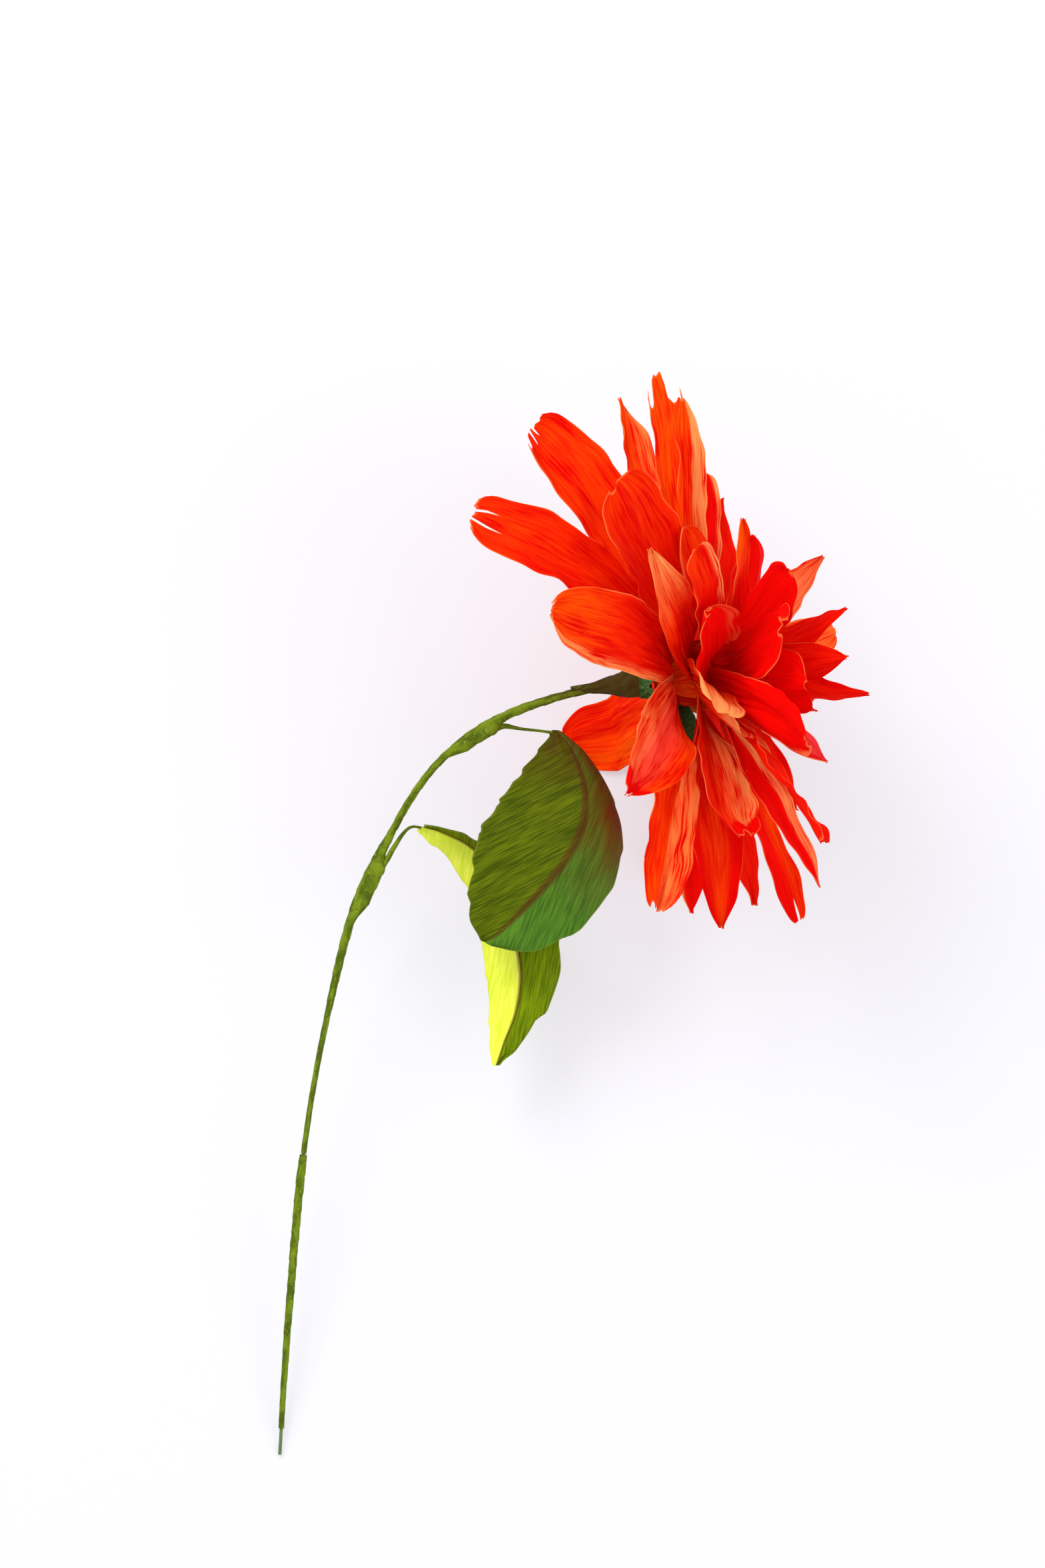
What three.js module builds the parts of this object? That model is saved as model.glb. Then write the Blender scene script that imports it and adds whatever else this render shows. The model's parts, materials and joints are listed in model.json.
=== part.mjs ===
// A crepe paper flower on a wired stem, lying on its side as it comes to rest.
// Millimetres, +Z up. The flower is drawn in its own frame first: x is the way the bloom faces, y runs
// up beside the stem, z is the side that lies uppermost, and the origin is where stem and bloom meet.
// The last section lays the whole flower on the floor.
import * as THREE from "three";

// Driving dimensions
const PAPER = 0.42; // thickness of a petal or leaf sheet with its glue
const GLUE_GAP = 0.3; // room for glue between two pieces
const HEAD_TILT = 7; // degrees the bloom looks up from square to the stem's top
const REST_HEIGHT = 66; // height of the bloom's back above the floor
const HEAD_BACK = 3; // how far the bloom sits back from the stem line's end
const CORE_LENGTH = 32;
const CORE_RADIUS = 9.5;
const PETAL_SCALE = 1; // scales every petal's length and width
const LEAF_SCALE = 1; // scales the leaves' widths
const WIRE_RADIUS = 0.55;
const WIRE_DEPTH = 18; // how far the wire reaches into the core
const WIRE_END_ROOM = 0.5; // left in the core beyond the wire's end
const WRAP_GAP = 0.15; // between the wire and the paper wound on it
const PETAL_ROWS = 5; // rows of facets beyond the root bend
const PETAL_COLUMNS = 4;
const TAB_LENGTH = 2.5; // glued root tab of a petal
const BEND_LENGTH = 4; // arc over which a petal leaves the core
const CLAW_HALF_WIDTH = 1.4; // half width of a petal's root
const LEAST_HALF_WIDTH = 0.6; // half width of a petal where it is narrowest
const TWIST_SPAN = [0.03, 0.45]; // shares of a petal's length over which its twist comes in
const CUP_SPAN = [0.08, 0.4]; // the same for the bending of its edges
const CURL_SPAN = [0.7, 1]; // the same for the curl of its tip
const STEPS_PER_MILLIMETRE = 2; // of a petal's middle line
const WIRE_SIDES = 8;
const WRAP_SIDES = 10;
const CORE_SIDES = 16;

// Stem line from the cut end to the back of the bloom
const STEM_LINE = [
  [-123.7, -250.1], [-122.2, -224], [-120.1, -195.8], [-117.1, -162], [-112.8, -131.3], [-106.5, -100],
  [-100.9, -78], [-95.4, -64.2], [-89.5, -53], [-83.2, -41.5], [-75.6, -30.4], [-65.4, -20.4],
  [-52.1, -12.4], [-36.9, -6.6], [-19.2, -2.4], [0, 0],
];
// Distance from the cut end, thickness of the paper wound on the wire there
const LOWER_WRAP = [[8.5, 0.2], [20, 0.25], [30, 0.35], [54, 0.5], [80, 0.6], [90, 0.65], [97, 0.45]];
const UPPER_WRAP = [
  [97.4, 0.2], [125, 0.22], [142, 0.3], [158, 0.6], [176, 0.75], [190, 0.95], [199, 0.85], [206, 0.45],
  [240, 0.45], [248, 0.7], [256, 0.8], [266, 0.7], [278, 0.55], [290, 0.6],
];
// Distance along the bloom's axis, outer radius
const CONE_PROFILE = [[-17, 2.3], [-14, 3.2], [-10, 4.4], [-6, 4.9], [-3, 4.6]];
const COLLAR_BACK = -5; // along the axis, where the collar grips the cone
const COLLAR_LENGTH = 5.5;
const COLLAR_CLEARANCE = 0.9; // between the collar's mouth and the core
const COLLAR_TEETH = 7;
const COLLAR_TOOTH = 3.4; // depth of the cuts between the teeth
const TOOTH_REACH = 1; // how far a tooth runs past the collar's length
const POINTS_PER_TOOTH = 4;
const COLLAR_ROWS = [0, 0.45, 1]; // shares of the collar's length
const COLLAR_TURN = -13; // degrees about the axis, which brings a tooth between two outer petals
const SEPAL_TOOTH = 3; // number of the tooth that is a long sepal
const SEPAL_TIP = { along: 10.5, out: 22 }; // where the sepal ends, along the axis and out from it
const CORE_PROFILE = [[0, 0.55], [0.06, 0.8], [0.2, 1], [0.5, 1], [0.75, 0.82], [0.92, 0.5], [1, 0.22]];

// Petals, from the back of the bloom to its heart. Azimuth 0 is up and 90 is the uppermost side when lying;
// lift is the angle forward from square to the axis; cups bend the two edges forward.
// Seat in percent of the core's length, azimuth, lift at root, lift at tip, tip curl, sway, length, width,
// two cups, twist, tip shape.
const OUTER_PETALS = [
  [12.5, 14, -9, -40, 0, 0, 92, 22, 15, 20, -60, "torn"],
  [12.5, 46, -20, -57, 0, 0, 101, 20, 20, 20, -35, "torn"],
  [12.5, 72, -14, -42, 0, 0, 86, 24, 30, 10, -20, "round"],
  [12.5, 117, -8, -26, 0, 0, 77, 19, 20, 30, 30, "point"],
  [12.5, 147, -6, -18, 0, 0, 85, 18, 40, 30, 50, "torn"],
  [12.5, 186, 0, -6, 0, 0, 72, 18, 20, 20, 55, "point"],
  [12.5, 226, -4, -16, 0, 0, 84, 22, 10, 10, 35, "round"],
  [12.5, 256, -14, -34, 0, 0, 80, 26, 0, 0, 0, "round"],
  [12.5, 288, -10, -26, 0, 0, 88, 24, 0, 0, 0, "round"],
  [12.5, 322, -6, -20, 0, 0, 93, 22, 15, 10, -35, "round"],
  [12.5, 344, 1, -9, 0, 0, 92, 13, 45, 30, -50, "point"],
];
const SECOND_PETALS = [
  [32.8, 358, 4, -3, 0, 0, 93, 15, 30, 25, -60, "torn"],
  [32.8, 21, 8, 0, 0, 0, 89, 14, 20, 50, -55, "round"],
  [30.6, 40, -8, -20, 0, 0, 79, 26, 10, 10, -45, "torn"],
  [30, 72, -2, -16, 0, -32, 70, 10, 30, 30, -45, "point"],
  [25, 92, 22, 10, -20, 28, 43, 14, 20, 20, 45, "torn"],
  [30.6, 118, 23, 20, 0, 0, 40, 12, 25, 25, 35, "torn"],
  [32.8, 147, 8, 0, 40, 0, 60, 19, 30, 40, 40, "torn"],
  [32.8, 172, 1, -3, 0, 0, 77, 21, 20, 25, 60, "point"],
  [32.8, 209, 10, 7, 0, 0, 83, 15, 20, 20, 50, "point"],
  [32.8, 240, 6, 4, 0, 0, 80, 22, 10, 10, 20, "round"],
  [32.8, 270, 8, 8, 0, 0, 84, 24, 0, 0, 0, "round"],
  [32.8, 304, 4, 2, 0, 0, 82, 24, 10, 10, -30, "round"],
];
const THIRD_PETALS = [
  [51.6, 3, 6, 4, 0, 0, 59, 12, 30, 30, -55, "torn"],
  [50, 34, -1, -8, 0, 0, 51, 14, 25, 25, -45, "round"],
  [48.4, 60, 4, -5, 0, -12, 62, 15, 25, 25, -40, "torn"],
  [45, 83, 8, -2, 0, -34, 45, 18, 30, 20, -45, "round"],
  [48.4, 113, 31, 24, 0, 4, 63, 21, 20, 25, 5, "round"],
  [50, 136, 23, 21, 0, 0, 80, 18, 30, 30, 25, "round"],
  [51.6, 160, 20, 22, 0, 0, 76, 16, 40, 40, 50, "point"],
  [51.6, 190, 15, 13, 0, 0, 81, 10, 25, 25, 55, "torn"],
  [51.6, 218, 25, 24, 0, 0, 59, 16, 20, 20, 40, "point"],
  [51.6, 262, 20, 18, 0, 0, 70, 20, 10, 10, 0, "round"],
  [51.6, 328, 12, 9, 0, 0, 62, 13, 20, 20, -40, "point"],
];
const INNER_PETALS = [
  [70.3, 22, 16, 9, 0, 0, 48, 10, 50, 40, -40, "point"],
  [70.3, 351, 22, 18, 0, 0, 41, 11, 30, 30, -50, "round"],
  [68.8, 47, 36, 32, 0, 0, 45, 16, 30, 30, 25, "round"],
  [67.2, 76, 31, 22, 0, -4, 44, 20, 20, 20, -20, "round"],
  [70.3, 102, 39, 31, 0, 0, 44, 19, 30, 30, 10, "round"],
  [70.3, 166, 49, 49, 0, 0, 34, 10, 30, 30, 50, "point"],
  [70.3, 222, 40, 38, 0, 0, 50, 10, 30, 30, 40, "point"],
  [70.3, 262, 40, 40, 0, 0, 48, 18, 20, 20, 0, "round"],
  [70.3, 319, 47, 43, 0, 0, 55, 14, 20, 20, -30, "point"],
];
const HEART_PETALS = [
  [86, 52, 68, 59, 0, 0, 43, 12, 30, 30, 0, "point"],
  [86, 91, 62, 56, 0, 0, 42, 13, 30, 30, 0, "point"],
  [86, 129, 73, 68, 0, 0, 45, 11, 30, 30, 10, "point"],
  [86, 212, 64, 60, 0, 0, 29, 12, 30, 30, 20, "point"],
  [86, 290, 64, 54, 0, 0, 41, 15, 30, 30, -20, "round"],
];
// Exponents of a petal's outline at its root and its tip
const TIP_SHAPES = { round: [1.4, 0.42], point: [1.35, 0.95], torn: [1.3, 0.26] };
const TORN_TIP = 0.2; // half width left at a torn tip, as a share of the petal's width
const NOTCH_DEPTH = 5; // how far a torn tip is cut back between its points

// Leaf ribs from the blade's root to its tip
const UPPER_RIB = [
  [-36.2, -14.7, 0.5], [-29.3, -23.3, 4], [-25.3, -35.2, 8], [-25.8, -47, 11], [-31.4, -58.4, 12],
  [-41.2, -70.1, 10], [-52.1, -80.9, 6], [-57.7, -85.2, 4],
];
const LOWER_RIB = [
  [-79.4, -47.2, -1], [-71.1, -49.6, -4], [-61, -55.1, -8], [-53.1, -65.5, -11], [-48.6, -80.7, -12],
  [-46, -94.6, -11], [-47.5, -107.2, -9], [-51.3, -117.3, -7], [-54.1, -125.4, -6],
];
// Where a leaf stalk runs beside the stem, as distances from the cut end, then its free points
const UPPER_STALK = { beside: [244, 251, 257], free: [[-46, -16, -0.6]] };
const LOWER_STALK = { beside: [183, 190, 197], free: [[-82.6, -48.4, -1]] };
const STALK_RADIUS = 0.9;
const RIB_RADIUS = 0.45;
const RIB_REACH = 0.72; // share of the leaf that the wire runs behind
const RIB_OFFSET = 0.8; // how far the wire lies to the left of the fold
const RIB_GAP = 0.6; // between the wire and the blade in front of it
const BLADE_REACH = [0.06, 0.99]; // shares of the rib between which the blade is cut
const BLADE_ROWS = 14;
const BLADE_COLUMNS = 4;
const LEAST_BLADE_WIDTH = 0.9;
const SCALLOP_DEPTH = 0.05; // share of a half's width
const FOLD_AT_RIB = 0.55; // share of a half's fold that it has right at the rib
const CHORD_SHARE = 0.7; // how far a blade's grain keeps to the leaf's chord

const degrees = THREE.MathUtils.degToRad;

function vec(x, y, z) {
  return new THREE.Vector3(x, y, z);
}

function smooth(from, to, value) {
  return THREE.MathUtils.smoothstep(value, from, to);
}

// Straight-line reading of a two-column table
function readTable(table, at) {
  for (let k = 1; k < table.length; k++) {
    const [x0, y0] = table[k - 1];
    const [x1, y1] = table[k];
    if (at <= x1) {
      return y0 + ((y1 - y0) * Math.max(0, at - x0)) / (x1 - x0);
    }
  }
  return table[table.length - 1][1];
}

function geometryFrom(points, triangles) {
  const geometry = new THREE.BufferGeometry();
  const numbers = points.flatMap((p) => [p.x, p.y, p.z]);
  geometry.setAttribute("position", new THREE.Float32BufferAttribute(numbers, 3));
  geometry.setIndex(triangles.flat());
  geometry.computeVertexNormals();
  return geometry;
}

// A sheet of even thickness about a grid of points
function sheetSolid(grid, thickness) {
  const rows = grid.length;
  const columns = grid[0].length;
  const points = [];
  const triangles = [];
  for (const side of [1, -1]) {
    for (let i = 0; i < rows; i++) {
      for (let j = 0; j < columns; j++) {
        const along = grid[Math.min(i + 1, rows - 1)][j].clone().sub(grid[Math.max(i - 1, 0)][j]);
        const across = grid[i][Math.min(j + 1, columns - 1)].clone().sub(grid[i][Math.max(j - 1, 0)]);
        const normal = along.cross(across).normalize();
        points.push(grid[i][j].clone().addScaledVector(normal, (side * thickness) / 2));
      }
    }
  }
  const back = rows * columns;
  const quad = (a, b, c, d) => triangles.push([a, b, c], [a, c, d]);
  for (let i = 0; i + 1 < rows; i++) {
    for (let j = 0; j + 1 < columns; j++) {
      const a = i * columns + j;
      const b = a + columns;
      quad(a, b, b + 1, a + 1);
      quad(back + a, back + a + 1, back + b + 1, back + b);
    }
  }
  const rim = [];
  for (let j = 0; j < columns; j++) rim.push(j);
  for (let i = 1; i < rows; i++) rim.push(i * columns + columns - 1);
  for (let j = columns - 2; j >= 0; j--) rim.push((rows - 1) * columns + j);
  for (let i = rows - 2; i > 0; i--) rim.push(i * columns);
  rim.forEach((a, k) => {
    const b = rim[(k + 1) % rim.length];
    quad(a, b, back + b, back + a);
  });
  return geometryFrom(points, triangles);
}

// A body through rings of equal count, capped at both ends, or joined end to start
function loft(rings, joined = false) {
  const count = rings[0].length;
  const points = rings.flat();
  const triangles = [];
  const last = joined ? rings.length : rings.length - 1;
  for (let i = 0; i < last; i++) {
    const next = (i + 1) % rings.length;
    for (let k = 0; k < count; k++) {
      const a = i * count + k;
      const b = i * count + ((k + 1) % count);
      const c = next * count + ((k + 1) % count);
      const d = next * count + k;
      triangles.push([a, b, c], [a, c, d]);
    }
  }
  if (!joined) {
    const end = (rings.length - 1) * count;
    for (let k = 1; k + 1 < count; k++) {
      triangles.push([0, k + 1, k], [end, end + k, end + k + 1]);
    }
  }
  return geometryFrom(points, triangles);
}

// A ring of points about a heading
function ring(centre, heading, radius, count) {
  const across = vec(0, 0, 1).cross(heading).normalize();
  const up = heading.clone().normalize().cross(across);
  return Array.from({ length: count }, (unused, k) => {
    const angle = (2 * Math.PI * k) / count;
    const point = centre.clone().addScaledVector(across, radius * Math.cos(angle));
    return point.addScaledVector(up, radius * Math.sin(angle));
  });
}

const head = new THREE.Matrix4().makeRotationZ(degrees(HEAD_TILT));
head.multiply(new THREE.Matrix4().makeTranslation(-HEAD_BACK, 0, 0));
const headAxis = vec(1, 0, 0).transformDirection(head);

// The floor, seen from the flower's own frame
const stemEnd = vec(...STEM_LINE[0], 0);
const stemReach = stemEnd.length();
const lean = Math.asin(REST_HEIGHT / Math.hypot(stemReach, WIRE_RADIUS)) - Math.atan2(WIRE_RADIUS, stemReach);
const floorNormal = vec(0, 0, Math.cos(lean)).addScaledVector(stemEnd.clone().normalize(), -Math.sin(lean));
const floorNormalInHead = floorNormal.clone().transformDirection(head.clone().invert());
const floorInHead = HEAD_BACK * floorNormalInHead.x - REST_HEIGHT; // reading along that normal at the floor

// Stem wire and the paper wound on it
const stemPoints = STEM_LINE.map(([x, y]) => vec(x, y, 0));
stemPoints.push(headAxis.clone().multiplyScalar(WIRE_DEPTH));
const stemCurve = new THREE.CatmullRomCurve3(stemPoints, false, "catmullrom", 0.5);
stemCurve.arcLengthDivisions = 1000;
const stemLength = stemCurve.getLength();

function stemRing(distance, radius, count) {
  const share = THREE.MathUtils.clamp(distance / stemLength, 0, 1);
  return ring(stemCurve.getPointAt(share), stemCurve.getTangentAt(share), radius, count);
}

function steps(from, to, count) {
  return Array.from({ length: count + 1 }, (unused, k) => from + ((to - from) * k) / count);
}

function wrapRadius(table, distance) {
  return WIRE_RADIUS + WRAP_GAP + readTable(table, distance);
}

function wrap(table, to, count) {
  const stations = steps(table[0][0], to, count);
  const outside = stations.map((d) => stemRing(d, wrapRadius(table, d), WRAP_SIDES));
  const inside = stations.map((d) => stemRing(d, WIRE_RADIUS + WRAP_GAP, WRAP_SIDES)).reverse();
  return loft([...outside, ...inside], true);
}

// Bodies turned about the bloom's axis, with a bore for the wire
function turned(profile, boreRadius, count) {
  const around = (x, radius) => ring(vec(x, 0, 0), vec(1, 0, 0), radius, count);
  const outside = profile.map(([x, radius]) => around(x, radius));
  const inside = profile.map(([x]) => around(x, boreRadius)).reverse();
  return loft([...outside, ...inside], true).applyMatrix4(head);
}

function coreRadius(x) {
  return CORE_RADIUS * readTable(CORE_PROFILE, x / CORE_LENGTH);
}

function core() {
  const around = (x, radius) => ring(vec(x, 0, 0), vec(1, 0, 0), radius, CORE_SIDES);
  const bore = WIRE_RADIUS + WRAP_GAP;
  const hollow = [WIRE_DEPTH + HEAD_BACK + WIRE_END_ROOM, 0].map((x) => around(x, bore));
  const skin = CORE_PROFILE.map(([share, size]) => around(share * CORE_LENGTH, size * CORE_RADIUS));
  return loft([...hollow, ...skin]).applyMatrix4(head);
}

// A toothed sleeve that grips the cone, with one tooth drawn out to a sepal
function collar() {
  const count = COLLAR_TEETH * POINTS_PER_TOOTH;
  const midTooth = POINTS_PER_TOOTH / 2;
  const sepalPoint = SEPAL_TOOTH * POINTS_PER_TOOTH + midTooth;
  const grip = readTable(CONE_PROFILE, COLLAR_BACK) + GLUE_GAP;
  const mouth = coreRadius(COLLAR_BACK + COLLAR_LENGTH + TOOTH_REACH) + COLLAR_CLEARANCE;
  const sleeve = (offset) => COLLAR_ROWS.map((share) => {
    const x = COLLAR_BACK + share * COLLAR_LENGTH - offset;
    const radius = THREE.MathUtils.lerp(grip, mouth, share ** 2) + offset;
    const points = ring(vec(x, 0, 0), vec(1, 0, 0), radius, count);
    if (share < 1) return points;
    points.forEach((point, k) => {
      const offMiddle = Math.abs((k % POINTS_PER_TOOTH) - midTooth) / midTooth;
      point.x += TOOTH_REACH - COLLAR_TOOTH * offMiddle;
    });
    const reach = (SEPAL_TIP.out + offset) / radius;
    points[sepalPoint].multiplyScalar(reach).setX(SEPAL_TIP.along - offset);
    return points;
  });
  const wall = PAPER * Math.SQRT1_2; // back and out, square to the sleeve's flare
  const sleeves = loft([...sleeve(wall), ...sleeve(0).reverse()], true);
  return sleeves.rotateX(degrees(COLLAR_TURN)).applyMatrix4(head);
}

// Petals
function petalGrid(row) {
  const [
    seatShare, azimuth, rootLift, tipLift, curl, sway, size, breadth, leftCup, rightCup, twist, tip,
  ] = row;
  const length = size * PETAL_SCALE;
  const width = breadth * PETAL_SCALE;
  const angle = degrees(azimuth);
  const outward = vec(0, Math.cos(angle), Math.sin(angle));
  const sideways = vec(0, -Math.sin(angle), Math.cos(angle));
  const root = TAB_LENGTH + BEND_LENGTH;
  const stations = [0, TAB_LENGTH, TAB_LENGTH + BEND_LENGTH * 0.5, ...steps(root, length, PETAL_ROWS)];
  const [rise, fall] = TIP_SHAPES[tip];
  const crest = rise / (rise + fall);
  const peak = crest ** rise * (1 - crest) ** fall;
  const seat = (seatShare / 100) * CORE_LENGTH;
  const start = seat - TAB_LENGTH;
  const rootRadius = Math.max(coreRadius(start), coreRadius(seat)) + GLUE_GAP + PAPER / 2;
  const centre = outward.clone().multiplyScalar(rootRadius).add(vec(start, 0, 0));
  const lowest = floorInHead + PAPER / 2;
  const grid = [];
  let travelled = 0;
  for (const station of stations) {
    const t = station / length;
    let heading = vec(1, 0, 0);
    while (travelled < station - 1e-9) {
      const step = Math.min(1 / STEPS_PER_MILLIMETRE, station - travelled);
      heading = petalHeading(travelled + step / 2);
      centre.addScaledVector(heading, step);
      travelled += step;
    }
    if (station === 0) heading = petalHeading(0);
    const across = sideways.clone().addScaledVector(heading, -sideways.dot(heading)).normalize();
    const normal = heading.clone().cross(across);
    const turn = degrees(twist) * smooth(...TWIST_SPAN, t);
    across.applyAxisAngle(heading, turn);
    normal.applyAxisAngle(heading, turn);
    const outline = (t ** rise * Math.max(0, 1 - t) ** fall) / peak;
    const half = CLAW_HALF_WIDTH * (1 - t) ** 3 + (width / 2) * outline;
    const bluntness = tip === "torn" && t > crest ? TORN_TIP * width : LEAST_HALF_WIDTH;
    const spread = Math.max(bluntness, half);
    const cupping = smooth(...CUP_SPAN, t);
    grid.push(steps(-1, 1, PETAL_COLUMNS).map((v, column) => {
      const cup = Math.max(0.01, degrees(v < 0 ? leftCup : rightCup) * cupping);
      const radius = spread / cup;
      const point = centre.clone().addScaledVector(across, radius * Math.sin(cup * v));
      point.addScaledVector(normal, radius * (1 - Math.cos(cup * v)));
      const cutBack = tip === "torn" && station === length && column % 2 === 1;
      if (cutBack) point.addScaledVector(heading, -NOTCH_DEPTH);
      const sunk = Math.max(0, lowest - floorNormalInHead.dot(point));
      return point.addScaledVector(floorNormalInHead, sunk);
    }));
  }
  return grid;

  function petalHeading(distance) {
    const t = distance / length;
    const bend = smooth(TAB_LENGTH, root, distance);
    const free = THREE.MathUtils.clamp((distance - root) / (length - root), 0, 1);
    const lift = rootLift + (tipLift - rootLift) * free + curl * smooth(...CURL_SPAN, t);
    const angleUp = degrees(90 + (lift - 90) * bend);
    const direction = outward.clone().multiplyScalar(Math.cos(angleUp)).add(vec(Math.sin(angleUp), 0, 0));
    direction.addScaledVector(sideways, Math.tan(degrees(sway)) * t).normalize();
    const fallRate = floorNormalInHead.dot(direction);
    const isAtFloor = floorNormalInHead.dot(centre) < lowest + 1 && fallRate < 0;
    if (isAtFloor) direction.addScaledVector(floorNormalInHead, -fallRate).normalize();
    return direction;
  }
}

// Leaves, each two half blades along a wired rib
function ribCurve(points) {
  return new THREE.CatmullRomCurve3(points.map((p) => vec(...p)), false, "catmullrom", 0.5);
}

// The blade's grain runs square to a line between the rib's own heading and its chord
function leafFrame(curve, facing, t) {
  const point = curve.getPoint(t);
  const chord = curve.getPoint(1).sub(curve.getPoint(0)).normalize();
  const heading = curve.getTangent(t).lerp(chord, CHORD_SHARE).normalize();
  const across = heading.clone().cross(facing).normalize();
  const normal = across.clone().cross(heading).normalize();
  return { point, heading, across, normal };
}

// Side +1 or -1 of the rib; widths are read along the rib; fold bends the half away from the facing side
function halfBlade(rib, facing, side, widths, folds, scallops) {
  const curve = ribCurve(rib);
  const grid = steps(...BLADE_REACH, BLADE_ROWS).map((t) => {
    const { point, across, normal } = leafFrame(curve, facing, t);
    const fold = degrees(readTable(folds, t));
    const ripple = 1 + SCALLOP_DEPTH * Math.sin(2 * Math.PI * scallops * t);
    const width = Math.max(LEAST_BLADE_WIDTH, readTable(widths, t) * ripple * LEAF_SCALE);
    const seam = (GLUE_GAP + PAPER * Math.sin(fold * FOLD_AT_RIB)) / 2;
    return steps(0, 1, BLADE_COLUMNS).map((v) => {
      const angle = fold * THREE.MathUtils.lerp(FOLD_AT_RIB, 1, v);
      const reach = seam + width * v * Math.cos(angle);
      const spot = point.clone().addScaledVector(across, side * reach);
      return spot.addScaledVector(normal, -width * v * Math.sin(angle));
    });
  });
  return sheetSolid(side > 0 ? grid : grid.map((line) => line.slice().reverse()), PAPER);
}

// A point against the stem's underside
function besideStem(distance) {
  const share = distance / stemLength;
  const heading = stemCurve.getTangentAt(share);
  const offset = wrapRadius(UPPER_WRAP, distance) + GLUE_GAP + STALK_RADIUS;
  return stemCurve.getPointAt(share).addScaledVector(vec(heading.y, -heading.x, 0), offset);
}

function leafWire({ beside, free }, rib, facing) {
  const curve = ribCurve(rib);
  const stalk = [...beside.map(besideStem), ...free.map((p) => vec(...p))];
  const drop = PAPER / 2 + RIB_GAP + RIB_RADIUS;
  const behind = steps(0.05, RIB_REACH, 9).map((t) => {
    const { point, across, normal } = leafFrame(curve, facing, t);
    return point.addScaledVector(normal, -drop).addScaledVector(across, RIB_OFFSET);
  });
  const line = new THREE.CatmullRomCurve3([...stalk, ...behind], false, "catmullrom", 0.5);
  const bare = (stalk.length - 0.6) / (stalk.length + behind.length - 1);
  const rings = steps(0, 1, 22).map((t) => {
    const radius = THREE.MathUtils.lerp(STALK_RADIUS, RIB_RADIUS, smooth(bare - 0.12, bare, t));
    return ring(line.getPoint(t), line.getTangent(t), radius, WIRE_SIDES);
  });
  return loft(rings);
}

const UPPER_FACING = vec(-0.25, 0.1, 1).normalize();
const LOWER_FACING = vec(-0.1, 0.1, 1).normalize();
const UPPER_LEFT_WIDTHS = [
  [0, 0.9], [0.06, 4], [0.14, 12], [0.3, 25], [0.45, 30], [0.6, 30], [0.75, 21], [0.88, 10], [1, 1],
];
const UPPER_RIGHT_WIDTHS = [
  [0, 0.9], [0.14, 9], [0.3, 18], [0.45, 24], [0.6, 25], [0.75, 21], [0.88, 13], [0.95, 7], [1, 1],
];
const LOWER_LEFT_WIDTHS = [[0, 1.5], [0.12, 6.5], [0.3, 12], [0.5, 14], [0.65, 14], [0.8, 9], [1, 1]];
const LOWER_RIGHT_WIDTHS = [[0, 1.5], [0.12, 5], [0.3, 11], [0.5, 17], [0.65, 15], [0.8, 9], [1, 1]];
// Share of the rib, degrees that the half is folded back there
const UPPER_LEFT_FOLDS = [[0, 10], [0.5, 0], [1, 5]];
const UPPER_RIGHT_FOLDS = [[0, 72], [0.3, 72], [0.45, 68], [0.6, 60], [0.75, 42], [0.88, 28], [1, 20]];
const LOWER_LEFT_FOLDS = [[0, 30], [0.5, 35], [1, 30]];
const LOWER_RIGHT_FOLDS = [[0, 80], [0.25, 78], [0.4, 50], [0.55, 30], [1, 30]];

// Materials
function paint(name, color, roughness, metalness) {
  return new THREE.MeshStandardMaterial({ name, color, roughness, metalness });
}

const petalPaper = paint("petal_paper", 0xe8240c, 0.85, 0);
const heartPaper = paint("heart_paper", 0xf04a10, 0.85, 0);
const stemPaper = paint("stem_paper", 0x5f7f22, 0.85, 0);
const conePaper = paint("cone_paper", 0x554a18, 0.85, 0);
const darkLeaf = paint("dark_leaf_paper", 0x46560f, 0.85, 0);
const blueLeaf = paint("blue_leaf_paper", 0x3f6a34, 0.85, 0);
const lightLeaf = paint("light_leaf_paper", 0xb9c832, 0.85, 0);
const midLeaf = paint("mid_leaf_paper", 0x5c8416, 0.85, 0);
const wirePaint = paint("wire_paint", 0x5d7a2a, 0.5, 0.2);

const flower = new THREE.Group();
flower.name = "paper_flower";

function add(name, geometry, material) {
  const mesh = new THREE.Mesh(geometry, material);
  mesh.name = name;
  flower.add(mesh);
}

add("stem_wire", loft(steps(0, stemLength, 40).map((d) => stemRing(d, WIRE_RADIUS, WIRE_SIDES))), wirePaint);
const lowerWrapEnd = UPPER_WRAP[0][0] - GLUE_GAP;
add("lower_stem_wrap", wrap(LOWER_WRAP, lowerWrapEnd, 10), stemPaper);
const upperWrapEnd = stemLength - WIRE_DEPTH - HEAD_BACK + CONE_PROFILE[0][0] - GLUE_GAP;
add("stem_wrap", wrap(UPPER_WRAP, upperWrapEnd, 26), stemPaper);
add("calyx_cone", turned(CONE_PROFILE, WIRE_RADIUS + WRAP_GAP, CORE_SIDES), conePaper);
add("calyx_collar", collar(), stemPaper);
add("flower_core", core(), heartPaper);
const whorls = [
  ["outer_petal", OUTER_PETALS, petalPaper],
  ["second_petal", SECOND_PETALS, petalPaper],
  ["third_petal", THIRD_PETALS, petalPaper],
  ["inner_petal", INNER_PETALS, heartPaper],
  ["heart_petal", HEART_PETALS, heartPaper],
];
for (const [name, rows, material] of whorls) {
  rows.forEach((row, k) => {
    const number = String(k + 1).padStart(2, "0");
    add(`${name}_${number}`, sheetSolid(petalGrid(row), PAPER).applyMatrix4(head), material);
  });
}
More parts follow.
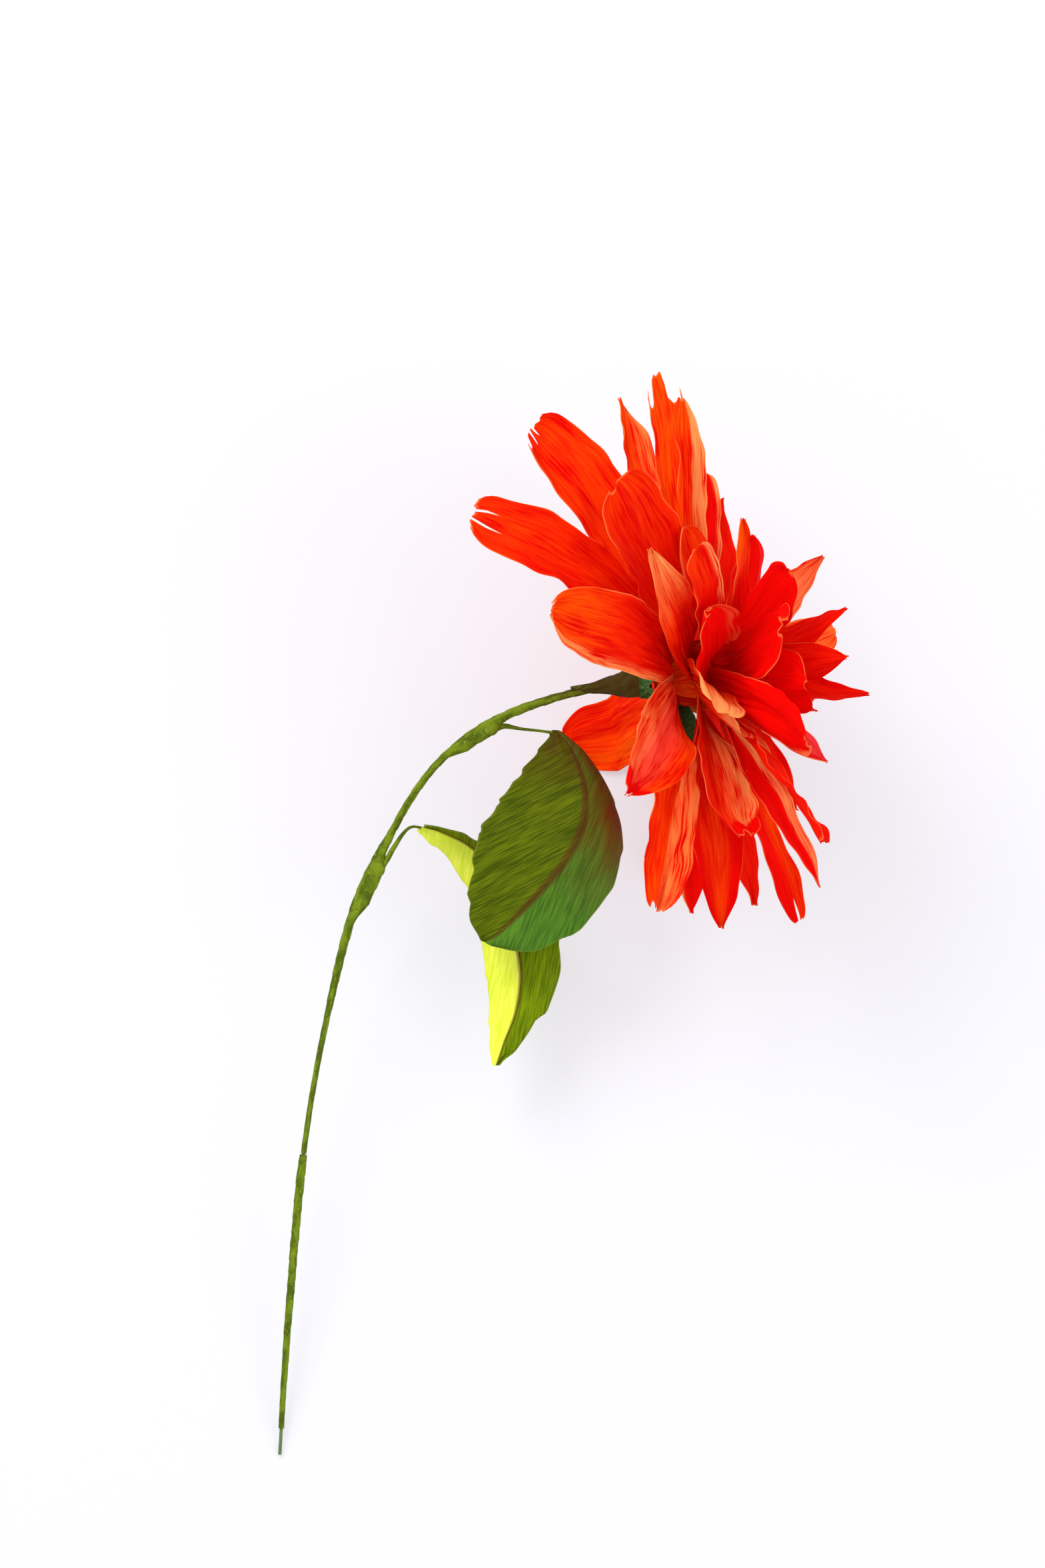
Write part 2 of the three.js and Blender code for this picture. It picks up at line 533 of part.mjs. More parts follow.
const halves = [
  ["upper_leaf_left_half", UPPER_RIB, UPPER_FACING, 1, UPPER_LEFT_WIDTHS, UPPER_LEFT_FOLDS, 5, darkLeaf],
  ["upper_leaf_right_half", UPPER_RIB, UPPER_FACING, -1, UPPER_RIGHT_WIDTHS, UPPER_RIGHT_FOLDS, 6, blueLeaf],
  ["lower_leaf_left_half", LOWER_RIB, LOWER_FACING, 1, LOWER_LEFT_WIDTHS, LOWER_LEFT_FOLDS, 6, lightLeaf],
  ["lower_leaf_right_half", LOWER_RIB, LOWER_FACING, -1, LOWER_RIGHT_WIDTHS, LOWER_RIGHT_FOLDS, 5, midLeaf],
];
for (const [name, rib, facing, side, widths, folds, scallops, material] of halves) {
  add(name, halfBlade(rib, facing, side, widths, folds, scallops), material);
}
add("upper_leaf_wire", leafWire(UPPER_STALK, UPPER_RIB, UPPER_FACING), wirePaint);
add("lower_leaf_wire", leafWire(LOWER_STALK, LOWER_RIB, LOWER_FACING), wirePaint);

// Lying down: floor normal to +Z, then the box's bottom centre to the origin
const lay = new THREE.Matrix4().makeRotationFromQuaternion(
  new THREE.Quaternion().setFromUnitVectors(floorNormal, vec(0, 0, 1)));
const box = new THREE.Box3();
for (const mesh of flower.children) {
  mesh.geometry.applyMatrix4(lay);
  mesh.geometry.computeBoundingBox();
  box.union(mesh.geometry.boundingBox);
}
const middle = box.getCenter(vec(0, 0, 0));
for (const mesh of flower.children) {
  mesh.geometry.translate(-middle.x, -middle.y, -box.min.z);
}

export default flower;
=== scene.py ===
"""Looks of a crepe paper flower that lies on its side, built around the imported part.

The flower is drawn in its own frame, in millimetres, as the part's source draws it: x is the way the bloom
faces, y runs up beside the stem, z is the side that lies uppermost, and the origin is where stem and bloom
meet. Each piece is then laid on the floor and written in metres.
"""
import json
import math

import bpy
import numpy as np
from mathutils import Matrix, Vector


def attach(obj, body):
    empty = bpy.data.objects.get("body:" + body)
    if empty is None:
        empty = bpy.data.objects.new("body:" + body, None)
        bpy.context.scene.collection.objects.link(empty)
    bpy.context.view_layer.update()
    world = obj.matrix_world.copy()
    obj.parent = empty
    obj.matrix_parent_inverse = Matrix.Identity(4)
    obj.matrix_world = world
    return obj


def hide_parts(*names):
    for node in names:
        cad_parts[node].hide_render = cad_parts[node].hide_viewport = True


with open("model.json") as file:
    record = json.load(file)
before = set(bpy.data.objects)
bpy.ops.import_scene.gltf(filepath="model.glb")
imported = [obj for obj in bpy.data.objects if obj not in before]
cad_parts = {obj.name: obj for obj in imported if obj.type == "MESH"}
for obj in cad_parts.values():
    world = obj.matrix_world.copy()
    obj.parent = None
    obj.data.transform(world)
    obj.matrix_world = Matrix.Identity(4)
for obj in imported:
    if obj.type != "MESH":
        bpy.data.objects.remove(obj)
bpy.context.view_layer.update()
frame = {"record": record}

MM = 0.001

# Driving dimensions, repeated from the part
HEAD_TILT = 7
REST_HEIGHT = 66
HEAD_BACK = 3
CORE_LENGTH = 32
CORE_RADIUS = 9.5
WIRE_RADIUS = 0.55
WIRE_DEPTH = 18
WIRE_END_ROOM = 0.5
WRAP_GAP = 0.15
GLUE_GAP = 0.3
CAD_PAPER = 0.42
TAB_LENGTH = 2.5
BEND_LENGTH = 4
TWIST_SPAN = (0.03, 0.45)  # shares of a petal's length over which its twist comes in
CUP_SPAN = (0.08, 0.4)  # the same for the bending of its edges
CURL_SPAN = (0.7, 1)  # the same for the curl of its tip
STEPS_PER_MILLIMETRE = 2  # of a petal's middle line
NEAR_FLOOR = 1  # height over the floor at which a petal is turned along it
STEM_LINE = [
    (-123.7, -250.1), (-122.2, -224), (-120.1, -195.8), (-117.1, -162), (-112.8, -131.3), (-106.5, -100),
    (-100.9, -78), (-95.4, -64.2), (-89.5, -53), (-83.2, -41.5), (-75.6, -30.4), (-65.4, -20.4),
    (-52.1, -12.4), (-36.9, -6.6), (-19.2, -2.4), (0, 0),
]
# Distance from the cut end, thickness of the paper wound on the wire there
LOWER_WRAP = [(8.5, 0.2), (20, 0.25), (30, 0.35), (54, 0.5), (80, 0.6), (90, 0.65), (97, 0.45)]
UPPER_WRAP = [
    (97.4, 0.2), (125, 0.22), (142, 0.3), (158, 0.6), (176, 0.75), (190, 0.95), (199, 0.85), (206, 0.45),
    (240, 0.45), (248, 0.7), (256, 0.8), (266, 0.7), (278, 0.55), (290, 0.6),
]
# Distance along the bloom's axis, outer radius
CONE_PROFILE = [(-17, 2.3), (-14, 3.2), (-10, 4.4), (-6, 4.9), (-3, 4.6)]
COLLAR_BACK = -5
COLLAR_LENGTH = 5.5
COLLAR_CLEARANCE = 0.9
COLLAR_TEETH = 7
COLLAR_TOOTH = 3.4
TOOTH_REACH = 1
# Share of the core's length, share of its radius
CORE_PROFILE = [(0, 0.55), (0.06, 0.8), (0.2, 1), (0.5, 1), (0.75, 0.82), (0.92, 0.5), (1, 0.22)]

# The cone and the sepal as they show, which differ a little from the solids
CONE_LOOK = [(-27, 1.25), (-21, 1.6), (-17, 2.4), (-13, 3.3), (-9, 4.5), (-5, 5.1), (-3, 5), (-1, 4.6)]
SEPAL_AZIMUTH = 158
SEPAL_ROOT = (7, 9.6)  # along the axis and out from it
SEPAL_TIP = (11.3, 22.5)
SEPAL_HALF_WIDTH = 2.8
SEPAL_TAPER = 0.35  # share of the width lost at the tip
SEPAL_NOTCH = 0.14  # share of the sepal's length cut out between its two points
SEPAL_NOTCH_PLACE = 0.15  # across the sepal, from -1 to 1
SEPAL_NOTCH_HALF_WIDTH = 0.6
SEPAL_WAVE = {"height": 0.5, "waves": 1.3, "waves_across": 0.4}

# Petals, from the back of the bloom to its heart, repeated from the part.
# Seat in percent of the core's length, azimuth, lift at root, lift at tip, tip curl, sway, length, width,
# two cups, twist, tip shape.
PETALS = {
    "outer_petal": [
        (12.5, 14, -9, -40, 0, 0, 92, 22, 15, 20, -60, "torn"),
        (12.5, 46, -20, -57, 0, 0, 101, 20, 20, 20, -35, "torn"),
        (12.5, 72, -14, -42, 0, 0, 86, 24, 30, 10, -20, "round"),
        (12.5, 117, -8, -26, 0, 0, 77, 19, 20, 30, 30, "point"),
        (12.5, 147, -6, -18, 0, 0, 85, 18, 40, 30, 50, "torn"),
        (12.5, 186, 0, -6, 0, 0, 72, 18, 20, 20, 55, "point"),
        (12.5, 226, -4, -16, 0, 0, 84, 22, 10, 10, 35, "round"),
        (12.5, 256, -14, -34, 0, 0, 80, 26, 0, 0, 0, "round"),
        (12.5, 288, -10, -26, 0, 0, 88, 24, 0, 0, 0, "round"),
        (12.5, 322, -6, -20, 0, 0, 93, 22, 15, 10, -35, "round"),
        (12.5, 344, 1, -9, 0, 0, 92, 13, 45, 30, -50, "point"),
    ],
    "second_petal": [
        (32.8, 358, 4, -3, 0, 0, 93, 15, 30, 25, -60, "torn"),
        (32.8, 21, 8, 0, 0, 0, 89, 14, 20, 50, -55, "round"),
        (30.6, 40, -8, -20, 0, 0, 79, 26, 10, 10, -45, "torn"),
        (30, 72, -2, -16, 0, -32, 70, 10, 30, 30, -45, "point"),
        (25, 92, 22, 10, -20, 28, 43, 14, 20, 20, 45, "torn"),
        (30.6, 118, 23, 20, 0, 0, 40, 12, 25, 25, 35, "torn"),
        (32.8, 147, 8, 0, 40, 0, 60, 19, 30, 40, 40, "torn"),
        (32.8, 172, 1, -3, 0, 0, 77, 21, 20, 25, 60, "point"),
        (32.8, 209, 10, 7, 0, 0, 83, 15, 20, 20, 50, "point"),
        (32.8, 240, 6, 4, 0, 0, 80, 22, 10, 10, 20, "round"),
        (32.8, 270, 8, 8, 0, 0, 84, 24, 0, 0, 0, "round"),
        (32.8, 304, 4, 2, 0, 0, 82, 24, 10, 10, -30, "round"),
    ],
    "third_petal": [
        (51.6, 3, 6, 4, 0, 0, 59, 12, 30, 30, -55, "torn"),
        (50, 34, -1, -8, 0, 0, 51, 14, 25, 25, -45, "round"),
        (48.4, 60, 4, -5, 0, -12, 62, 15, 25, 25, -40, "torn"),
        (45, 83, 8, -2, 0, -34, 45, 18, 30, 20, -45, "round"),
        (48.4, 113, 31, 24, 0, 4, 63, 21, 20, 25, 5, "round"),
        (50, 136, 23, 21, 0, 0, 80, 18, 30, 30, 25, "round"),
        (51.6, 160, 20, 22, 0, 0, 76, 16, 40, 40, 50, "point"),
        (51.6, 190, 15, 13, 0, 0, 81, 10, 25, 25, 55, "torn"),
        (51.6, 218, 25, 24, 0, 0, 59, 16, 20, 20, 40, "point"),
        (51.6, 262, 20, 18, 0, 0, 70, 20, 10, 10, 0, "round"),
        (51.6, 328, 12, 9, 0, 0, 62, 13, 20, 20, -40, "point"),
    ],
    "inner_petal": [
        (70.3, 22, 16, 9, 0, 0, 48, 10, 50, 40, -40, "point"),
        (70.3, 351, 22, 18, 0, 0, 41, 11, 30, 30, -50, "round"),
        (68.8, 47, 36, 32, 0, 0, 45, 16, 30, 30, 25, "round"),
        (67.2, 76, 31, 22, 0, -4, 44, 20, 20, 20, -20, "round"),
        (70.3, 102, 39, 31, 0, 0, 44, 19, 30, 30, 10, "round"),
        (70.3, 166, 49, 49, 0, 0, 34, 10, 30, 30, 50, "point"),
        (70.3, 222, 40, 38, 0, 0, 50, 10, 30, 30, 40, "point"),
        (70.3, 262, 40, 40, 0, 0, 48, 18, 20, 20, 0, "round"),
        (70.3, 319, 47, 43, 0, 0, 55, 14, 20, 20, -30, "point"),
    ],
    "heart_petal": [
        (86, 52, 68, 59, 0, 0, 43, 12, 30, 30, 0, "point"),
        (86, 91, 62, 56, 0, 0, 42, 13, 30, 30, 0, "point"),
        (86, 129, 73, 68, 0, 0, 45, 11, 30, 30, 10, "point"),
        (86, 212, 64, 60, 0, 0, 29, 12, 30, 30, 20, "point"),
        (86, 290, 64, 54, 0, 0, 41, 15, 30, 30, -20, "round"),
    ],
}
# Exponents of a petal's outline at its root and its tip, and half widths that show, fuller than the solids'
TIP_SHAPES = {"round": (0.85, 0.42), "point": (0.95, 0.9), "torn": (0.8, 0.28)}
TORN_TIP = 0.2  # half width of a torn tip, as a share of the petal's width
CLAW_HALF_WIDTH = 4.5
LEAST_HALF_WIDTH = 0.6

# How each petal's paper is coloured, cut and folded, with light painted into some of its tints. Across a
# petal,
# -1 is the left edge in the photograph and 1 the right one. A tint is a colour, a region and an amount: the
# orange tint is partly the paper's own streaks and partly painted light, where a petal is lit or glows
# through, and the pale orange tint is a painted highlight. A slit is a place across, a depth in mm and a half
# width; a step is a part of the width cut shorter by a depth; a fold is its place at the root and at the tip,
# its angle, and the side of it that turns; jag is the depth of a ragged tip; wide widens the petal.
PLAIN_TINTS = [("orange_streak_and_light", "all", 0.06)]
PLAIN_JAG = 0.6
PETAL_LOOKS = {
    "outer_petal_01": {
        "tints": [("orange_streak_and_light", "all", 0.28)],
        "slits": [(-0.38, 9, 0.07), (-0.12, 7, 0.05)],
        "steps": [(-1, -0.62, 4)],
        "jag": 1,
    },
    "outer_petal_02": {
        "tints": [("orange_streak_and_light", "all", 0.15), ("orange_streak_and_light", "middle", 0.1)],
        "slits": [(-0.3, 12, 0.1), (0.3, 10, 0.1)],
        "jag": 1,
    },
    "outer_petal_03": {
        "tints": [("orange_streak_and_light", "all", 0.1), ("orange_streak_and_light", "tip", 0.4), ("painted_highlight", "left_edge", 0.35)],
        "jag": 1,
    },
    "outer_petal_04": {
        "tints": [
            ("orange_streak_and_light", "all", 0.4), ("painted_highlight", "left", 0.25), ("pink", "middle", 0.3), ("red", "tip_end", 1),
        ],
        "slits": [(-0.5, 5, 0.2), (0.4, 6, 0.2)],
        "jag": 3,
        "wide": 1.25,
    },
    "outer_petal_05": {
        "tints": [("orange_streak_and_light", "all", 0.35), ("orange_streak_and_light", "flap", 0.5), ("painted_highlight", "flap", 0.3)],
        "fold": (0.6, -0.3, 50, 1),
        "slits": [(0, 5, 0.3)],
        "jag": 2.5,
        "wide": 1.15,
    },
    "outer_petal_06": {"tints": [("painted_highlight", "left_edge", 0.4)]},
    "outer_petal_08": {"tints": [("orange_streak_and_light", "all", 0.25), ("orange_streak_and_light", "left", 0.4)]},
    "outer_petal_10": {"tints": [("orange_streak_and_light", "all", 0.5), ("painted_highlight", "all", 0.5), ("pink", "all", 0.35)]},
    "outer_petal_11": {
        "tints": [("orange_streak_and_light", "all", 0.5), ("orange_streak_and_light", "right", 0.5), ("painted_highlight", "right", 0.3)],
        "wide": 1.35,
    },
    "second_petal_01": {
        "tints": [("orange_streak_and_light", "all", 0.55), ("painted_highlight", "right_edge", 0.15)],
        "steps": [(-1, -0.62, 9), (0.2, 1, 9)],
        "jag": 2,
    },
    "second_petal_02": {
        "tints": [("orange_streak_and_light", "all", 0.55), ("painted_highlight", "flap", 0.7), ("orange_streak_and_light", "flap", 0.4)],
        "fold": (0.2, 0.3, 55, 1),
    },
    "second_petal_03": {"tints": [("orange_streak_and_light", "all", 0.12), ("orange_streak_and_light", "tip", 0.15)], "jag": 1.5},
    "second_petal_04": {
        "tints": [("orange_streak_and_light", "all", 0.2), ("orange_streak_and_light", "tip", 0.5), ("painted_highlight", "tip", 0.45)],
        "jag": 3,
        "wide": 1.6,
    },
    "second_petal_05": {"tints": [("orange_streak_and_light", "all", 0.5), ("painted_highlight", "tip", 0.8)], "jag": 1.5, "wide": 1.5},
    "second_petal_06": {
        "tints": [("orange_streak_and_light", "all", 0.4), ("painted_highlight", "tip", 0.6), ("pink", "tip", 0.2)],
        "jag": 1.5,
        "wide": 1.4,
    },
    "second_petal_07": {
        "tints": [
            ("orange_streak_and_light", "all", 0.2), ("orange_streak_and_light", "right", 0.4), ("painted_highlight", "right", 0.5), ("red", "tip_end", 1),
        ],
        "jag": 2,
        "wide": 1.3,
    },
    "second_petal_08": {"tints": [("orange_streak_and_light", "middle", 0.3)]},
    "third_petal_01": {"tints": [("painted_highlight", "right_edge", 0.6)], "jag": 1.5},
    "third_petal_02": {"tints": [("orange_streak_and_light", "tip", 0.4), ("painted_highlight", "left_edge", 0.3)], "jag": 1},
    "third_petal_03": {
        "tints": [("orange_streak_and_light", "tip", 0.3), ("painted_highlight", "right_edge", 0.8), ("pink", "right_edge", 0.5)],
        "jag": 2,
    },
    "third_petal_04": {"tints": [("painted_highlight", "right_edge", 0.2)], "wide": 1.15},
    "third_petal_05": {"tints": [("painted_highlight", "right_edge", 0.4)]},
    "third_petal_07": {"tints": [("painted_highlight", "flap", 0.6), ("pink", "flap", 0.35)], "fold": (0.3, 0.6, 50, 1)},
    "third_petal_08": {"tints": [("orange_streak_and_light", "right", 0.3)], "slits": [(0.2, 8, 0.2)], "jag": 1},
    "inner_petal_01": {"tints": [("orange_streak_and_light", "tip", 0.5), ("orange_streak_and_light", "left", 0.3)]},
    "inner_petal_02": {"tints": [("pink", "right_edge", 0.4)], "wide": 1.2},
    "inner_petal_03": {"tints": [], "wide": 1.2},
    "inner_petal_04": {"tints": [], "wide": 1.3},
    "inner_petal_05": {"tints": [], "wide": 1.25},
    "inner_petal_06": {"tints": [("pink", "all", 0.7), ("painted_highlight", "right_edge", 0.3)]},
    "inner_petal_07": {"tints": [("pink", "all", 0.5)]},
    "inner_petal_09": {"tints": [("orange_streak_and_light", "all", 0.7), ("painted_highlight", "all", 0.2), ("pink", "all", 0.2)]},
    "heart_petal_05": {"tints": [("orange_streak_and_light", "all", 0.8), ("painted_highlight", "all", 0.15)]},
}

# Leaf ribs from the blade's root to its tip, repeated from the part
UPPER_RIB = [
    (-36.2, -14.7, 0.5), (-29.3, -23.3, 4), (-25.3, -35.2, 8), (-25.8, -47, 11), (-31.4, -58.4, 12),
    (-41.2, -70.1, 10), (-52.1, -80.9, 6), (-57.7, -85.2, 4),
]
LOWER_RIB = [
    (-79.4, -47.2, -1), (-71.1, -49.6, -4), (-61, -55.1, -8), (-53.1, -65.5, -11), (-48.6, -80.7, -12),
    (-46, -94.6, -11), (-47.5, -107.2, -9), (-51.3, -117.3, -7), (-54.1, -125.4, -6),
]
UPPER_FACING = np.array((-0.25, 0.1, 1))
LOWER_FACING = np.array((-0.1, 0.1, 1))
UPPER_STALK = ([244, 251, 257], [(-46, -16, -0.6)])
LOWER_STALK = ([183, 190, 197], [(-82.6, -48.4, -1)])
STALK_RADIUS = 0.9
RIB_RADIUS = 0.45
RIB_REACH = 0.72
RIB_OFFSET = 0.8
RIB_GAP = 0.6
UPPER_LEFT_WIDTHS = [
    (0, 0.9), (0.06, 4), (0.14, 12), (0.3, 25), (0.45, 30), (0.6, 30), (0.75, 21), (0.88, 10), (1, 1),
]
UPPER_RIGHT_WIDTHS = [
    (0, 0.9), (0.14, 9), (0.3, 18), (0.45, 24), (0.6, 25), (0.75, 21), (0.88, 13), (0.95, 7), (1, 1),
]
LOWER_LEFT_WIDTHS = [(0, 1.5), (0.12, 6.5), (0.3, 12), (0.5, 14), (0.65, 14), (0.8, 9), (1, 1)]
LOWER_RIGHT_WIDTHS = [(0, 1.5), (0.12, 5), (0.3, 11), (0.5, 17), (0.65, 15), (0.8, 9), (1, 1)]
UPPER_LEFT_FOLDS = [(0, 10), (0.5, 0), (1, 5)]
UPPER_RIGHT_FOLDS = [(0, 72), (0.3, 72), (0.45, 68), (0.6, 60), (0.75, 42), (0.88, 28), (1, 20)]
LOWER_LEFT_FOLDS = [(0, 30), (0.5, 35), (1, 30)]
LOWER_RIGHT_FOLDS = [(0, 80), (0.25, 78), (0.4, 50), (0.55, 30), (1, 30)]
BLADE_REACH = (0.03, 0.99)  # shares of the rib between which the blade is cut
LEAST_BLADE_WIDTH = 0.9
FOLD_AT_RIB = 0.55  # share of a half's fold that it has right at the rib
CHORD_SHARE = 0.7  # how far a blade's grain keeps to the leaf's chord

# Regions of a petal that take a tint: spans across it from the middle line, or along it from the root
SIDE_SPAN = (-0.15, 0.75)
EDGE_SPAN = (0.62, 0.9)
EDGE_START = (0.1, 0.3)
MIDDLE_SPAN = (0.15, 0.75)
TIP_SPAN = (0.5, 0.95)
TIP_END_SPAN = (0.84, 0.9)
TIP_END_WAVER = 0.03
RED_SPAN = (0.75, 0.95)  # amounts of red over which it takes the other tints away

# Relief of a petal: heights and wave lengths in mm, spans as shares of its length or half width
JAG_WAVES = 1.6
STEP_SLOPE = 0.04
CUT_FROM = 0.6  # share of the length beyond which the rows are drawn in by the cut
FOLD_SLOPE = 0.05
FOLD_START = (0.1, 0.35)
EDGE_SWAY = {"share": 0.045, "wave": 17, "start": (0.15, 0.4)}
GATHERS = {"height": 0.5, "waves": 2.6, "stray": 0.35, "wave": 40, "start": (0.06, 0.16), "end": (0.25, 0.75)}
CRUMPLE = {"height": 0.9, "wave_along": 34, "wave_across": 30, "start": (0.15, 0.5)}
FRILL = {"height": 0.6, "wave": 13, "edge": (0.6, 1), "start": (0.2, 0.5)}

# Relief of the stem, the calyx, the core and the leaves
STRIP_PITCH = 5.2  # advance of the wound strip in one turn
STRIP_RIDGE = 0.34  # step at the strip's lapped edge
STALK_RIDGE = 0.6  # share of that step on a leaf's stalk
STRIP_CLIMB = 0.22  # share of a turn over which the lapped edge rises
STRIP_SINK = 0.75  # share of the step that is lost by the end of a turn
STRIP_MEAN = 0.35  # taken off the step, so that the strip keeps its thickness
STRIP_STRAY = {"turns": 0.25, "wave": 40}
STRIP_LUMPS = {"height": 0.07, "wave": 9, "waves_round": 0.25}
FULL_WRAP = 0.8  # thickness of wound paper at which the steps reach their full height
BROWN_SPAN = (60, 20)  # distances from the bloom over which the stem turns brown
BULGE_EDGE = 0.35  # cosine from the stem's underside at which the bulge over a stalk starts
BULGE_POWER = 0.8
BULGE_START = (-9, -1)  # from the first point of a stalk
BULGE_END = (2, -4)  # from its last point beside the stem
BULGE_PAPER = 0.2
PLEATS = {"count": 5, "slant": 0.3, "stray": 0.4, "wave": 9, "waves_round": 0.3, "depth": 0.13, "mean": 0.7}
CONE_LUMPS = {"depth": 0.03, "wave": 5, "waves_round": 0.8}
COLLAR_WAVE = {"height": 0.18, "waves": 0.4, "waves_round": 0.9}
CORE_LAPS = {"count": 3, "slant": 1.4, "depth": 0.1, "start": (0.35, 0.7), "edge": (0.94, 0.99)}
CORE_ORANGE = 0.35
CORE_LUMPS = {"height": 0.15, "waves": 2}
TOOTH_STRAY = {"share": 0.2, "waves": 3}
TOOTH_BACK = 0.75  # share of a tooth's length at which it turns back to the rib
TOOTH_MEAN = 0.3
TOOTH_START = (0.08, 0.2)
TOOTH_END = (1, 0.93)
BLADE_SWELL = {"height": 0.8, "waves": 2.2, "waves_across": 0.9, "start": (0, 0.35)}
BLADE_FRILL = {"height": 0.8, "waves": 6, "edge": (0.6, 1)}
STALK_TAPER = (0.6, 0.12)  # spans of the wire's curve from the last bound point, share over which it thins

# Grain round the calyx and the core, for each radian
CONE_GRAIN = 4
COLLAR_GRAIN = 6
CORE_GRAIN = 8

# Fineness of the visible meshes
PAPER = 0.28
SEAM_GAP = 0.06  # between the halves of a leaf
PETAL_ROOT_ROWS = 8
PETAL_ROWS = 52
PETAL_COLUMNS = 41
LEAF_ROWS = 90
LEAF_COLUMNS = 30
SHARP_ANGLE = 55
STEM_SAMPLES = 4001
STEM_STEP = 0.6
STEM_SIDES = 28
WIRE_RINGS = 260
WIRE_SIDES = 16
LEAF_WIRE_RINGS = 150
LEAF_WIRE_SIDES = 20
RIB_START = 0.05
RIB_POINTS = 10
CONE_RINGS = 70
CONE_SIDES = 64
COLLAR_RINGS = 16
SIDES_PER_TOOTH = 14
SEPAL_ROWS = 26
SEPAL_COLUMNS = 9
CORE_RINGS = 60
CORE_SIDES = 72
NUDGE = 1e-4  # share of a rib over which its heading is taken
STEM_NUDGE = 0.2  # the same for the stem, in mm

# Random fields: how long their waves are, and the seeds of some of them
WAVE_PITCHES = (0.6, 1.6)
WHORL_SEED_STEP = 100
PETAL_SEED_STEP = 7
TIP_END_SEED = 9
WIRE_SEED = 3
CONE_SEED = 31
COLLAR_SEED = 41
SEPAL_SEED = 43
CORE_SEED = 51


def smooth(low, high, value):
    share = np.clip((value - low) / (high - low), 0.0, 1.0)
    return share * share * (3.0 - 2.0 * share)


def read_table(table, at):
    places, values = zip(*table)
    return np.interp(at, places, values)


def ripple(seed, x, y=0.0, waves=6):
    """A smooth random field that swings between about -1 and 1, with waves of about unit length."""
    dice = np.random.default_rng(seed)
    total = 0.0
    for _ in range(waves):
        heading = dice.uniform(0, math.tau)
        pitch = dice.uniform(*WAVE_PITCHES)
        phase = dice.uniform(0, math.tau)
        total = total + np.sin(math.tau * pitch * (x * math.cos(heading) + y * math.sin(heading)) + phase)
    return total / math.sqrt(waves)


def curve_points(controls, shares):
    """Points on a smooth curve through the controls, at shares of its spans."""
    controls = np.array(controls, float)
    padded = np.vstack((2 * controls[0] - controls[1], controls, 2 * controls[-1] - controls[-2]))
    spans = len(controls) - 1
    place = np.clip(shares, 0, 1) * spans
    first = np.minimum(place.astype(int), spans - 1)
    w = (place - first)[:, None]
    before, start, end, after = (padded[first + k] for k in range(4))
    leave = (end - before) / 2
    arrive = (after - start) / 2
    return (
        start
        + leave * w
        + (3 * (end - start) - 2 * leave - arrive) * w**2
        + (2 * (start - end) + leave + arrive) * w**3
    )


def unit(vectors):
    return vectors / np.linalg.norm(vectors, axis=-1, keepdims=True)


# Lying down, as the part does it
stem_end = np.array((*STEM_LINE[0], 0.0))
stem_reach = np.linalg.norm(stem_end)
lean = math.asin(REST_HEIGHT / math.hypot(stem_reach, WIRE_RADIUS)) - math.atan2(WIRE_RADIUS, stem_reach)
floor_normal = np.array((0, 0, math.cos(lean))) - math.sin(lean) * stem_end / stem_reach
lay = np.array(Vector(floor_normal).rotation_difference(Vector((0, 0, 1))).to_matrix())
mount_place = np.array(frame["record"]["mounts"][0]["pos_m"]) / MM
lay_shift = mount_place - lay @ stem_end

tilt = math.radians(HEAD_TILT)
head_turn = np.array(
    ((math.cos(tilt), -math.sin(tilt), 0), (math.sin(tilt), math.cos(tilt), 0), (0, 0, 1)), float
)
head_axis = head_turn[:, 0]
floor_in_head = head_turn.T @ floor_normal
floor_level = HEAD_BACK * floor_in_head[0] - REST_HEIGHT


def from_head(points):
    """From the bloom's own frame to the flower's."""
    return (points - np.array((HEAD_BACK, 0, 0))) @ head_turn.T


def laid(points):
    """From the flower's frame to the floor, in metres."""
    return (points @ lay.T + lay_shift) * MM


# Meshes
def piece(node, points, faces, material, attributes):
    """A closed mesh that stands for a node. Attributes are vectors per point."""
    mesh = bpy.data.meshes.new(node + "_paper")
    mesh.from_pydata(laid(points).tolist(), [], faces)
    for name, values in attributes.items():
        layer = mesh.attributes.new(name, "FLOAT_VECTOR", "POINT")
        layer.data.foreach_set("vector", np.asarray(values, np.float32).ravel())
    mesh.shade_smooth()
    mesh.set_sharp_from_angle(angle=math.radians(SHARP_ANGLE))
    mesh.materials.append(material)
    made = bpy.data.objects.new(node + "_paper", mesh)
    bpy.context.scene.collection.objects.link(made)
    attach(made, "root")
    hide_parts(node)


def sheet_faces(rows, columns):
    """Faces of a closed sheet: a front and a back grid, joined round the rim."""
    back = rows * columns
    faces = []
    for i in range(rows - 1):
        for j in range(columns - 1):
            a = i * columns + j
            b = a + columns
            faces.append((a, b, b + 1, a + 1))
            faces.append((back + a, back + a + 1, back + b + 1, back + b))
    rim = list(range(columns))
    rim += [i * columns + columns - 1 for i in range(1, rows)]
    rim += [(rows - 1) * columns + j for j in range(columns - 2, -1, -1)]
    rim += [i * columns for i in range(rows - 2, 0, -1)]
    for a, b in zip(rim, rim[1:] + rim[:1]):
        faces.append((a, b, back + b, back + a))
    return faces


def sheet_points(grid, thickness):
    """Front and back points of a sheet about a grid."""
    along = np.gradient(grid, axis=0)
    across = np.gradient(grid, axis=1)
    normal = unit(np.cross(along, across))
    offset = normal * thickness / 2
    return np.concatenate(((grid + offset).reshape(-1, 3), (grid - offset).reshape(-1, 3)))


def rim_marks(rows, columns):
    """1 along the cut edges of a grid and 0 inside, root row left out."""
    marks = np.zeros((rows, columns))
    marks[:, 0] = 1
    marks[:, -1] = 1
    marks[-1, :] = 1
    return marks


